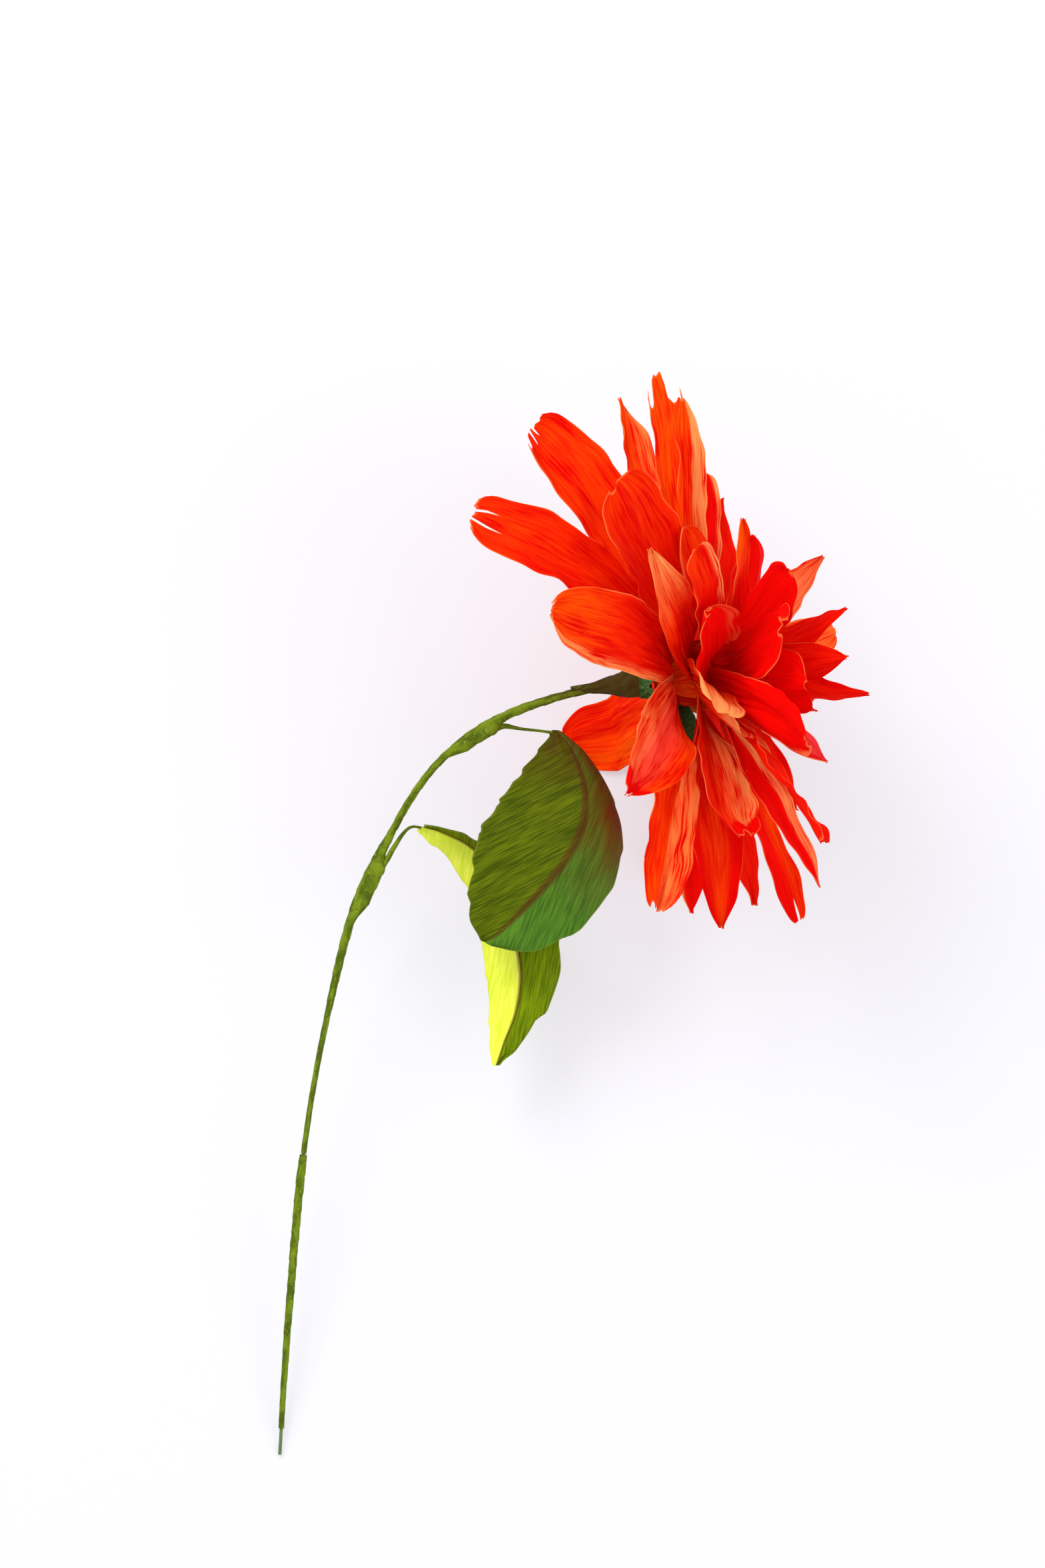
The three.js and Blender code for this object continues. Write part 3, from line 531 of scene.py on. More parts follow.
def twice(values):
    """Grid values for the front and the back of a sheet."""
    flat = values.reshape(-1, values.shape[-1])
    return np.concatenate((flat, flat))


def vectors(*parts):
    """Three grids of values, or single numbers, joined point by point."""
    return np.stack(np.broadcast_arrays(*parts), axis=-1)


# Petals
def core_radius(x):
    return CORE_RADIUS * read_table(CORE_PROFILE, x / CORE_LENGTH)


def petal_spine(row):
    """Centres along a petal's middle line, and the ways across and out of the sheet, in the bloom's frame."""
    seat_share, azimuth, root_lift, tip_lift, curl, sway, length, _, _, _, twist, _ = row
    angle = math.radians(azimuth)
    outward = np.array((0, math.cos(angle), math.sin(angle)))
    sideways = np.array((0, -math.sin(angle), math.cos(angle)))
    forward = np.array((1.0, 0, 0))
    root = TAB_LENGTH + BEND_LENGTH
    seat = seat_share / 100 * CORE_LENGTH
    start = seat - TAB_LENGTH
    root_radius = max(core_radius(start), core_radius(seat)) + GLUE_GAP + CAD_PAPER / 2
    centre = outward * root_radius + forward * start
    lowest = floor_level + CAD_PAPER / 2
    count = STEPS_PER_MILLIMETRE * length
    step = length / count
    centres, acrosses, normals = [], [], []
    for k in range(count + 1):
        distance = max(0.0, (k - 0.5) * step)
        t = distance / length
        bend = smooth(TAB_LENGTH, root, distance)
        free = min(1.0, max(0.0, (distance - root) / (length - root)))
        lift = root_lift + (tip_lift - root_lift) * free + curl * smooth(*CURL_SPAN, t)
        up = math.radians(90 + (lift - 90) * bend)
        drift = math.tan(math.radians(sway)) * t
        heading = unit(outward * math.cos(up) + forward * math.sin(up) + sideways * drift)
        fall = floor_in_head @ heading
        if floor_in_head @ centre < lowest + NEAR_FLOOR and fall < 0:
            heading = unit(heading - floor_in_head * fall)
        if k > 0:
            centre = centre + heading * step
        across = unit(sideways - heading * (sideways @ heading))
        normal = np.cross(heading, across)
        turn = math.radians(twist) * smooth(*TWIST_SPAN, t)
        centres.append(centre)
        acrosses.append(across * math.cos(turn) + normal * math.sin(turn))
        normals.append(normal * math.cos(turn) - across * math.sin(turn))
    return np.array(centres), np.array(acrosses), np.array(normals)


def along_spine(values, t):
    shares = np.linspace(0, 1, len(values))
    return np.stack([np.interp(t, shares, values[:, k]) for k in range(3)], axis=-1)


def fold_share(fold, u, w):
    """0 before a fold and 1 on the side of it that turns."""
    at_root, at_tip, _, side = fold
    line = at_root + (at_tip - at_root) * u
    return smooth(-FOLD_SLOPE, FOLD_SLOPE, side * (w - line))


def region(name, u, w, fold):
    """How much a point belongs to a named region of a petal."""
    if name == "left":
        return smooth(*SIDE_SPAN, -w)
    if name == "right":
        return smooth(*SIDE_SPAN, w)
    if name == "left_edge":
        return smooth(*EDGE_SPAN, -w) * smooth(*EDGE_START, u)
    if name == "right_edge":
        return smooth(*EDGE_SPAN, w) * smooth(*EDGE_START, u)
    if name == "middle":
        return 1 - smooth(*MIDDLE_SPAN, np.abs(w))
    if name == "tip":
        return smooth(*TIP_SPAN, u)
    if name == "tip_end":
        return smooth(*TIP_END_SPAN, u + TIP_END_WAVER * ripple(TIP_END_SEED, w))
    if name == "flap":
        return fold_share(fold, u, w)
    return np.ones_like(u)


def petal_end(look, w, length, seed):
    """Share of a petal's length at which each of its columns is cut."""
    cut = look.get("jag", PLAIN_JAG) * (1 + ripple(seed, JAG_WAVES * w)) / 2
    for place, depth, half_width in look.get("slits", []):
        cut = np.maximum(cut, depth * np.clip(1 - np.abs(w - place) / half_width, 0, 1))
    for low, high, depth in look.get("steps", []):
        begins = smooth(low - STEP_SLOPE, low + STEP_SLOPE, w)
        ends = smooth(high + STEP_SLOPE, high - STEP_SLOPE, w)
        cut = cut + depth * begins * ends
    return 1 - np.clip(cut, 0, None) / length


def edge_ripple(seed, v, along):
    """A random wave along each side of a petal, not the same on both."""
    return np.where(v < 0, ripple(seed, along), ripple(seed + 1, along))


def petal_half_widths(width, tip, u, v, t, travelled, seed):
    rise, fall = TIP_SHAPES[tip]
    crest = rise / (rise + fall)
    peak = crest**rise * (1 - crest) ** fall
    blade = (width / 2) * t**rise * np.clip(1 - t, 0, 1) ** fall / peak
    bluntness = TORN_TIP * width if tip == "torn" else LEAST_HALF_WIDTH
    least = np.where(t > crest, bluntness, LEAST_HALF_WIDTH)
    sway = edge_ripple(seed + 1, v, travelled / EDGE_SWAY["wave"]) * smooth(*EDGE_SWAY["start"], u)
    return np.maximum(least, CLAW_HALF_WIDTH * (1 - t) ** 3 + blade) * (1 + EDGE_SWAY["share"] * sway)


def summed_outward(steps):
    """Sums of steps from the middle column to each edge."""
    middle = steps.shape[1] // 2
    total = np.zeros_like(steps)
    total[:, middle + 1:] = np.cumsum(steps[:, middle + 1:], axis=1)
    total[:, :middle] = np.cumsum(steps[:, middle - 1::-1], axis=1)[:, ::-1]
    return total


def petal_section(look, cups, u, v, w):
    """How far each column lies sideways and forward, for a half width of one."""
    first_cup, last_cup = cups
    bending = np.radians(np.where(v < 0, first_cup, last_cup)) * smooth(*CUP_SPAN, u) * np.abs(v)
    if "fold" in look:
        turned = fold_share(look["fold"], u, w) * smooth(*FOLD_START, u)
        bending = bending + math.radians(look["fold"][2]) * turned
    spacing = v[0, 1] - v[0, 0]
    sideways = summed_outward(spacing * np.cos(bending) * np.sign(v))
    forward = summed_outward(spacing * np.sin(bending))
    return sideways, forward


def petal_relief(width, u, v, travelled, seed):
    """Gathers at the root, a crumple over the blade and frilled edges."""
    stray = GATHERS["stray"] * ripple(seed + 3, travelled / GATHERS["wave"], v)
    gathers = GATHERS["height"] * np.sin(math.tau * (GATHERS["waves"] * v + stray))
    gathers = gathers * smooth(*GATHERS["start"], u) * (1 - smooth(*GATHERS["end"], u))
    crumple = ripple(seed + 4, travelled / CRUMPLE["wave_along"], v * width / CRUMPLE["wave_across"])
    crumple = CRUMPLE["height"] * crumple * smooth(*CRUMPLE["start"], u)
    frill = FRILL["height"] * edge_ripple(seed + 5, v, travelled / FRILL["wave"])
    frill = frill * smooth(*FRILL["edge"], np.abs(v)) * smooth(*FRILL["start"], u)
    return gathers + crumple + frill


def petal_tint(look, u, w):
    """Amounts over a petal of orange, partly painted light, of pale orange, a painted highlight, and of pink.
    """
    tints = {"orange_streak_and_light": np.zeros_like(u), "painted_highlight": np.zeros_like(u), "pink": np.zeros_like(u)}
    for tone, place, amount in look.get("tints", PLAIN_TINTS):
        weight = amount * region(place, u, w, look.get("fold"))
        if tone == "red":
            for other in tints:
                tints[other] = tints[other] * (1 - smooth(*RED_SPAN, weight))
        else:
            tints[tone] = np.clip(tints[tone] + weight, 0, 1)
    return vectors(*tints.values())


def petal(node, row, seed):
    look = PETAL_LOOKS.get(node, {})
    _, azimuth, _, _, _, _, length, width, first_cup, last_cup, _, tip = row
    width = width * look.get("wide", 1)
    side_in_photo = -1 if math.cos(math.radians(azimuth)) > 0 else 1
    root_share = (TAB_LENGTH + BEND_LENGTH) / length
    root_rows = np.linspace(0, root_share, PETAL_ROOT_ROWS, endpoint=False)
    blade_rows = np.linspace(root_share, 1, PETAL_ROWS)
    columns = np.linspace(-1, 1, PETAL_COLUMNS)
    u, v = np.meshgrid(np.concatenate((root_rows, blade_rows)), columns, indexing="ij")
    w = v * side_in_photo
    end = petal_end(look, w[0], length, seed)
    t = np.where(u < CUT_FROM, u, CUT_FROM + (u - CUT_FROM) * (end - CUT_FROM) / (1 - CUT_FROM))
    travelled = t * length
    spread = petal_half_widths(width, tip, u, v, t, travelled, seed)
    sideways, forward = petal_section(look, (first_cup, last_cup), u, v, w)
    height = petal_relief(width, u, v, travelled, seed)

    centre, across, normal = (along_spine(values, t) for values in petal_spine(row))
    grid = centre + across * (spread * sideways)[..., None] + normal * (spread * forward + height)[..., None]
    sunk = np.clip(floor_level + CAD_PAPER / 2 - grid @ floor_in_head, 0, None)
    grid = grid + floor_in_head * sunk[..., None]
    attributes = {
        "grain": twice(vectors(v * width / 2, travelled, seed)),
        "tint": twice(petal_tint(look, u, w)),
        "rim": twice(vectors(rim_marks(*u.shape), 0, 0)),
    }
    points = sheet_points(from_head(grid), PAPER)
    piece(node, points, sheet_faces(*u.shape), petal_material, attributes)


# Stem wire and the paper wound on it
stem_controls = [(x, y, 0) for x, y in STEM_LINE] + [tuple(head_axis * WIRE_DEPTH)]
stem_dense = curve_points(stem_controls, np.linspace(0, 1, STEM_SAMPLES))


def travelled_along(points):
    """Distance along a line of points, from its start."""
    return np.concatenate(([0], np.cumsum(np.linalg.norm(np.diff(points, axis=0), axis=1))))


stem_travel = travelled_along(stem_dense)
stem_length = stem_travel[-1]


def on_stem(distances):
    return np.stack([np.interp(distances, stem_travel, stem_dense[:, k]) for k in range(3)], axis=-1)


def tangents(points):
    return unit(np.gradient(points, axis=0))


def ring_angles(count):
    return np.linspace(0, math.tau, count, endpoint=False)[None, :]


def rings_about(centres, headings, radii):
    """Rings of points about a line, with one row of radii for each ring."""
    across = unit(np.cross((0, 0, 1), headings))[:, None]
    up = np.cross(headings[:, None], across)
    angles = ring_angles(radii.shape[1])[..., None]
    return centres[:, None] + radii[..., None] * (across * np.cos(angles) + up * np.sin(angles))


def loft_faces(rings, count, joined=False):
    """Faces through rings of equal count, capped at both ends, or joined end to start."""
    faces = []
    for i in range(rings if joined else rings - 1):
        this = i * count
        following = (i + 1) % rings * count
        for k in range(count):
            beside = (k + 1) % count
            faces.append((this + k, this + beside, following + beside, following + k))
    if not joined:
        faces.append(tuple(range(count - 1, -1, -1)))
        faces.append(tuple((rings - 1) * count + k for k in range(count)))
    return faces


def tube_marks(distances, radii, seed):
    """Grain of a tube: round it, along it, and a seed."""
    angles = np.linspace(-math.pi, math.pi, radii.shape[1], endpoint=False)
    return vectors(np.abs(angles)[None, :] * radii.mean(), distances[:, None], seed)


def flat_list(values):
    return values.reshape(-1, 3)


def out_and_back(outside, inside):
    """Rings, or their values, of a closed sleeve: up its outside and back down its inside."""
    return np.concatenate((outside, inside[::-1]))


def sleeve_marks(values):
    """The same values outside and inside a sleeve."""
    return flat_list(out_and_back(values, values))


def share_of_turn(turns):
    return turns - np.floor(turns)


def strip_step(lap):
    """Height of a wound strip over its mean thickness, as a share of the step at its lapped edge."""
    return smooth(0, STRIP_CLIMB, lap) * (1 - STRIP_SINK * lap) - STRIP_MEAN


def stalk_bulge(distances, angles):
    """How far the wound strip stands out where it binds a leaf stalk to the stem's underside."""
    facing = np.clip((np.cos(angles - math.pi) - BULGE_EDGE) / (1 - BULGE_EDGE), 0, 1) ** BULGE_POWER
    height = GLUE_GAP + 2 * STALK_RADIUS + BULGE_PAPER
    total = np.zeros((len(distances), angles.shape[1]))
    for beside, _ in (UPPER_STALK, LOWER_STALK):
        begins = smooth(beside[0] + BULGE_START[0], beside[0] + BULGE_START[1], distances)
        ends = smooth(beside[-1] + BULGE_END[0], beside[-1] + BULGE_END[1], distances)
        total = total + height * (begins * ends)[:, None] * facing
    return total


def wound_stem(node, table, end, seed):
    """Crepe strip wound round the wire, each turn lapped over the last."""
    distances = np.append(np.arange(table[0][0], end, STEM_STEP), end)
    angles = ring_angles(STEM_SIDES)
    stray = STRIP_STRAY["turns"] * ripple(seed, distances / STRIP_STRAY["wave"])[:, None]
    lap = share_of_turn(distances[:, None] / STRIP_PITCH + stray - angles / math.tau)
    bore = WIRE_RADIUS + WRAP_GAP
    wrap = read_table(table, distances)[:, None]
    lumps = ripple(seed + 1, distances[:, None] / STRIP_LUMPS["wave"], angles * STRIP_LUMPS["waves_round"])
    relief = STRIP_RIDGE * strip_step(lap) + STRIP_LUMPS["height"] * lumps
    outside = bore + wrap + np.clip(wrap / FULL_WRAP, 0, 1) * relief + stalk_bulge(distances, angles)
    inside = np.full(outside.shape, bore)
    centres = on_stem(distances)
    headings = tangents(centres)
    rings = out_and_back(rings_about(centres, headings, outside), rings_about(centres, headings, inside))
    closeness = smooth(*BROWN_SPAN, stem_length - WIRE_DEPTH - distances)[:, None]
    attributes = {
        "grain": sleeve_marks(tube_marks(distances, outside, seed)),
        "tint": sleeve_marks(vectors(lap, closeness, 0)),
    }
    faces = loft_faces(len(rings), STEM_SIDES, joined=True)
    piece(node, flat_list(rings), faces, stem_material, attributes)


def bare_wire():
    distances = np.linspace(0, stem_length, WIRE_RINGS)
    centres = on_stem(distances)
    radii = np.full((WIRE_RINGS, WIRE_SIDES), WIRE_RADIUS)
    rings = rings_about(centres, tangents(centres), radii)
    attributes = {"grain": flat_list(tube_marks(distances, radii, WIRE_SEED))}
    faces = loft_faces(WIRE_RINGS, WIRE_SIDES)
    piece("stem_wire", flat_list(rings), faces, wire_material, attributes)


# Calyx and core, turned about the bloom's axis
def about_axis(x, radii):
    """Rings about the bloom's axis, in the bloom's frame. x has one value for each point or each ring."""
    angles = ring_angles(radii.shape[1])
    return vectors(x, radii * np.cos(angles), radii * np.sin(angles))


def calyx_cone():
    """Paper wound to a cone, pleated at a slant."""
    x = np.linspace(CONE_LOOK[0][0], CONE_LOOK[-1][0], CONE_RINGS)[:, None]
    angles = ring_angles(CONE_SIDES)
    stray = PLEATS["stray"] * ripple(CONE_SEED, x / PLEATS["wave"], angles * PLEATS["waves_round"])
    pleats = np.abs(np.sin(PLEATS["count"] / 2 * angles + PLEATS["slant"] * x + stray))
    lumps = ripple(CONE_SEED + 1, x / CONE_LUMPS["wave"], angles * CONE_LUMPS["waves_round"])
    relief = PLEATS["depth"] * (pleats - PLEATS["mean"]) + CONE_LUMPS["depth"] * lumps
    outside = read_table(CONE_LOOK, x) * (1 + relief)
    inside = np.full(outside.shape, WIRE_RADIUS + WRAP_GAP)
    rings = out_and_back(about_axis(x, outside), about_axis(x, inside))
    browned = smooth(CONE_LOOK[0][0], CONE_PROFILE[0][0], x)
    attributes = {
        "grain": sleeve_marks(vectors(angles * CONE_GRAIN, x, CONE_SEED)),
        # The first value is high in the pleats' valleys, which take painted shade
        "tint": sleeve_marks(vectors(1 - pleats, browned, 0)),
    }
    faces = loft_faces(len(rings), CONE_SIDES, joined=True)
    piece("calyx_cone", flat_list(from_head(rings)), faces, cone_material, attributes)


def sepal_grid():
    """The collar's one long tooth, ending in two points, in the bloom's frame."""
    t, v = np.meshgrid(np.linspace(0, 1, SEPAL_ROWS), np.linspace(-1, 1, SEPAL_COLUMNS), indexing="ij")
    off_notch = np.abs(v - SEPAL_NOTCH_PLACE) / SEPAL_NOTCH_HALF_WIDTH
    t = t * (1 - SEPAL_NOTCH * np.clip(1 - off_notch, 0, 1))
    angle = math.radians(SEPAL_AZIMUTH)
    outward = np.array((0, math.cos(angle), math.sin(angle)))
    run = np.array((SEPAL_TIP[0] - SEPAL_ROOT[0], 0, 0)) + outward * (SEPAL_TIP[1] - SEPAL_ROOT[1])
    sideways = unit(np.cross((0, 0, 1), run))
    along = SEPAL_ROOT[0] + (SEPAL_TIP[0] - SEPAL_ROOT[0]) * t
    wave = ripple(SEPAL_SEED, t * SEPAL_WAVE["waves"], v * SEPAL_WAVE["waves_across"])
    along = along + SEPAL_WAVE["height"] * wave
    out = SEPAL_ROOT[1] + (SEPAL_TIP[1] - SEPAL_ROOT[1]) * t
    half = SEPAL_HALF_WIDTH * (1 - SEPAL_TAPER * t**3) * v
    return np.array((1.0, 0, 0)) * along[..., None] + outward * out[..., None] + sideways * half[..., None]


def calyx_collar():
    """A toothed sleeve, and the sepal as a sheet of its own in the same piece."""
    shares = np.linspace(0, 1, COLLAR_RINGS)[:, None]
    sides = COLLAR_TEETH * SIDES_PER_TOOTH
    angles = ring_angles(sides)
    grip = read_table(CONE_PROFILE, COLLAR_BACK) + GLUE_GAP
    mouth = core_radius(COLLAR_BACK + COLLAR_LENGTH + TOOTH_REACH) + COLLAR_CLEARANCE
    valley = np.abs(2 * share_of_turn(COLLAR_TEETH * angles / math.tau) - 1)
    x = COLLAR_BACK + shares * COLLAR_LENGTH - shares**2 * (COLLAR_TOOTH * valley - TOOTH_REACH)
    wave = ripple(COLLAR_SEED, shares * COLLAR_WAVE["waves"], angles * COLLAR_WAVE["waves_round"])
    inside = grip + (mouth - grip) * shares**2 + COLLAR_WAVE["height"] * wave * shares
    rings = out_and_back(about_axis(x, inside + PAPER), about_axis(x, inside))
    sleeve = flat_list(from_head(rings))
    faces = loft_faces(len(rings), sides, joined=True)
    grid = sepal_grid()
    tooth = sheet_points(from_head(grid), PAPER)
    faces += [tuple(len(sleeve) + corner for corner in face) for face in sheet_faces(*grid.shape[:2])]
    grain = sleeve_marks(vectors(angles * COLLAR_GRAIN, x, COLLAR_SEED))
    # The share along the collar stands in the place of a lap, so painted shade darkens it towards its toothed
    # rim
    tint = sleeve_marks(vectors(np.broadcast_to(shares, x.shape), 0, 0))
    attributes = {
        "grain": np.concatenate((grain, tooth)),
        "tint": np.concatenate((tint, np.zeros_like(tooth))),
    }
    points = np.concatenate((sleeve, tooth))
    piece("calyx_collar", points, faces, collar_material, attributes)


def with_bore(values):
    """Values of the core's skin, with two rings more for its bore."""
    return flat_list(np.concatenate((values[:2], values)))


def flower_core():
    """A tight roll of crepe whose turns lap over each other."""
    shares = np.linspace(0, 1, CORE_RINGS)[:, None]
    angles = ring_angles(CORE_SIDES)
    lap = share_of_turn(CORE_LAPS["count"] * angles / math.tau + CORE_LAPS["slant"] * shares)
    size = CORE_RADIUS * read_table(CORE_PROFILE, shares)
    step = CORE_LAPS["depth"] * (lap - 0.5) * smooth(*CORE_LAPS["start"], shares)
    lumps = CORE_LUMPS["height"] * ripple(CORE_SEED, shares * CORE_LUMPS["waves"], angles)
    skin = about_axis(shares * CORE_LENGTH, size * (1 + step) + lumps)
    bore_ends = np.array((WIRE_DEPTH + HEAD_BACK + WIRE_END_ROOM, 0))[:, None]
    bore = about_axis(bore_ends, np.full((2, CORE_SIDES), WIRE_RADIUS + WRAP_GAP))
    rings = np.concatenate((bore, skin))
    attributes = {
        "grain": with_bore(vectors(angles * CORE_GRAIN, shares * CORE_LENGTH, CORE_SEED)),
        # Orange rising over each lap to its lapped edge, partly painted light like the petals' orange, and a
        # painted highlight on that edge
        "tint": with_bore(vectors(CORE_ORANGE * lap, 0, 0)),
        "rim": with_bore(vectors(smooth(*CORE_LAPS["edge"], lap), 0, 0)),
    }
    faces = loft_faces(len(rings), CORE_SIDES)
    piece("flower_core", flat_list(from_head(rings)), faces, petal_material, attributes)


# Leaves
def leaf_frames(rib, facing, shares):
    """Points on a leaf's rib and the directions across and out of the blade there."""
    points = curve_points(rib, shares)
    ahead = curve_points(rib, np.clip(shares + NUDGE, 0, 1))
    behind = curve_points(rib, np.clip(shares - NUDGE, 0, 1))
    chord = unit(np.array(rib[-1], float) - np.array(rib[0], float))
    heading = unit((1 - CHORD_SHARE) * unit(ahead - behind) + CHORD_SHARE * chord)
    across = unit(np.cross(heading, unit(facing)))
    normal = unit(np.cross(across, heading))
    return points, across, normal


def half_blade(node, rib, facing, side, widths, folds, teeth, tooth_depth, grain_angle, seed, material):
    shares = np.linspace(*BLADE_REACH, LEAF_ROWS)
    points, across, normal = (values[:, None] for values in leaf_frames(rib, facing, shares))
    t, v = np.meshgrid(shares, np.linspace(0, 1, LEAF_COLUMNS), indexing="ij")
    tooth = share_of_turn(teeth * t + TOOTH_STRAY["share"] * ripple(seed, t * TOOTH_STRAY["waves"]))
    tooth = tooth - smooth(TOOTH_BACK, 1, tooth) - TOOTH_MEAN
    tooth = tooth_depth * tooth * smooth(*TOOTH_START, t) * smooth(*TOOTH_END, t)
    width = np.maximum(LEAST_BLADE_WIDTH, read_table(widths, t) + tooth)
    angle = np.radians(read_table(folds, t)) * (FOLD_AT_RIB + (1 - FOLD_AT_RIB) * v)
    swell = ripple(seed + 1, t * BLADE_SWELL["waves"], v * BLADE_SWELL["waves_across"])
    swell = BLADE_SWELL["height"] * swell * smooth(*BLADE_SWELL["start"], v)
    frill = ripple(seed + 2, t * BLADE_FRILL["waves"])
    frill = BLADE_FRILL["height"] * frill * smooth(*BLADE_FRILL["edge"], v)
    reach = (SEAM_GAP / 2 + width * v * np.cos(angle))[..., None]
    depth = (swell + frill - width * v * np.sin(angle))[..., None]
    grid = points + across * side * reach + normal * depth
    grain_turn = math.radians(grain_angle)
    along = grid[..., 0] * math.cos(grain_turn) + grid[..., 1] * math.sin(grain_turn)
    crosswise = grid[..., 1] * math.cos(grain_turn) - grid[..., 0] * math.sin(grain_turn)
    rim = np.zeros_like(t)
    rim[:, -1] = 1
    seam = np.zeros_like(t)
    seam[:, :2] = 1
    marks = {"grain": vectors(crosswise, along, seed), "tint": vectors(t, v, 0), "rim": vectors(rim, seam, 0)}
    if side < 0:
        grid = grid[:, ::-1]
        marks = {name: values[:, ::-1] for name, values in marks.items()}
    attributes = {name: twice(values) for name, values in marks.items()}
    piece(node, sheet_points(grid, PAPER), sheet_faces(LEAF_ROWS, LEAF_COLUMNS), material, attributes)


def beside_stem(distance):
    """A point against the stem's underside."""
    near = on_stem(np.array((distance - STEM_NUDGE, distance, distance + STEM_NUDGE)))
    heading = unit(near[2] - near[0])
    offset = WIRE_RADIUS + WRAP_GAP + read_table(UPPER_WRAP, distance) + GLUE_GAP + STALK_RADIUS
    return near[1] + offset * np.array((heading[1], -heading[0], 0))


def leaf_wire(node, stalk, rib, facing, seed):
    """A wire wound with paper as a stalk, then bare behind the blade."""
    beside, free = stalk
    bound = [beside_stem(distance) for distance in beside] + [np.array(point, float) for point in free]
    drop = CAD_PAPER / 2 + RIB_GAP + RIB_RADIUS
    points, across, normal = leaf_frames(rib, facing, np.linspace(RIB_START, RIB_REACH, RIB_POINTS))
    controls = np.vstack((bound, points - normal * drop + across * RIB_OFFSET))
    shares = np.linspace(0, 1, LEAF_WIRE_RINGS)
    centres = curve_points(controls, shares)
    spans_short, thinning = STALK_TAPER
    bare = (len(bound) - spans_short) / (len(controls) - 1)
    wound = 1 - smooth(bare - thinning, bare, shares)[:, None]
    travel = travelled_along(centres)
    lap = share_of_turn(travel[:, None] / STRIP_PITCH - ring_angles(LEAF_WIRE_SIDES) / math.tau)
    radii = RIB_RADIUS + wound * (STALK_RADIUS - RIB_RADIUS + STALK_RIDGE * STRIP_RIDGE * strip_step(lap))
    rings = rings_about(centres, tangents(centres), radii)
    attributes = {
        "grain": flat_list(tube_marks(travel, radii, seed)),
        "tint": flat_list(vectors(lap, 0, 0)),
    }
    faces = loft_faces(LEAF_WIRE_RINGS, LEAF_WIRE_SIDES)
    piece(node, flat_list(rings), faces, stem_material, attributes)


# Materials
SEED_SPACING = 7.3
NOISE_ROUGHNESS = 0.55
SHEEN = 0.06


def new_material(name):
    material = bpy.data.materials.new(name)
    material.use_nodes = True
    material.node_tree.nodes.clear()
    return material, material.node_tree


def put(tree, socket, value):
    if isinstance(value, bpy.types.NodeSocket):
        tree.links.new(value, socket)
    else:
        socket.default_value = value


def add_node(tree, kind, **inputs):
    """A node of a kind, with a value or a link for each named input."""
    made = tree.nodes.new("ShaderNode" + kind)
    for name, value in inputs.items():
        put(tree, made.inputs[name.replace("_", " ")], value)
    return made


def attribute(tree, name):
    """The three parts of a point attribute."""
    source = tree.nodes.new("ShaderNodeAttribute")
    source.attribute_name = name
    parts = add_node(tree, "SeparateXYZ", Vector=source.outputs["Vector"])
    return tuple(parts.outputs)


def calculate(tree, operation, first, second=0.0, clamp=False):
    made = tree.nodes.new("ShaderNodeMath")
    made.operation = operation
    made.use_clamp = clamp
    put(tree, made.inputs[0], first)
    put(tree, made.inputs[1], second)
    return made.outputs[0]


def times(tree, first, second):
    return calculate(tree, "MULTIPLY", first, second)


def weighed(tree, *parts):
    """Sum of values, each times its weight."""
    total = 0.0
    for value, weight in parts:
        total = calculate(tree, "ADD", times(tree, value, weight), total)
    return total


def spread_range(tree, value, low, high, to_low=0.0, to_high=1.0):
    made = add_node(tree, "MapRange", Value=value, From_Min=low, From_Max=high, To_Min=to_low, To_Max=to_high)
    made.interpolation_type = "SMOOTHSTEP"
    return made.outputs["Result"]


def mixed(tree, share, first, second):
    made = tree.nodes.new("ShaderNodeMix")
    made.data_type = "RGBA"
    put(tree, made.inputs["Factor"], share)
    put(tree, made.inputs["A"], first)
    put(tree, made.inputs["B"], second)
    return made.outputs["Result"]


def streaks(tree, parts, across_scale, along_scale, detail=3.0):
    """Noise drawn out along the paper's grain, from 0 to 1."""
    across, along, seed = parts
    across = times(tree, across, across_scale)
    along = times(tree, along, along_scale)
    place = add_node(tree, "CombineXYZ", X=across, Y=along, Z=times(tree, seed, SEED_SPACING)).outputs[0]
    made = add_node(tree, "TexNoise", Scale=1.0, Detail=detail, Roughness=NOISE_ROUGHNESS, Vector=place)
    return made.outputs[0]


def colour(red, green, blue):
    """A colour as seen, from 0 to 255, in the renderer's own numbers, by the sRGB curve."""
    def linear(value):
        share = value / 255
        return share / 12.92 if share <= 0.04045 else ((share + 0.055) / 1.055) ** 2.4
    return (linear(red), linear(green), linear(blue), 1.0)


def show(tree, shader):
    add_node(tree, "OutputMaterial", Surface=shader.outputs[0])


def show_both(tree, share, first, second):
    """A mix of two shaders, by the share of the second."""
    both = tree.nodes.new("ShaderNodeMixShader")
    for socket, value in zip(both.inputs, (share, first.outputs[0], second.outputs[0])):
        put(tree, socket, value)
    show(tree, both)


def paper_surface(material, tree, paint, relief, relief_height, through, rough=0.8):
    """Paper that scatters light on both sides and lets some of it through."""
    bump = add_node(tree, "Bump", Strength=1.0, Distance=relief_height * MM, Height=relief).outputs[0]
    face = add_node(
        tree, "BsdfPrincipled", Base_Color=paint, Roughness=rough, Specular_IOR_Level=SHEEN, Normal=bump)
    glow = add_node(tree, "BsdfTranslucent", Color=paint, Normal=bump)
    show_both(tree, through, face, glow)
    return material


RED = colour(255, 10, 0)
DEEP_RED = colour(228, 0, 0)
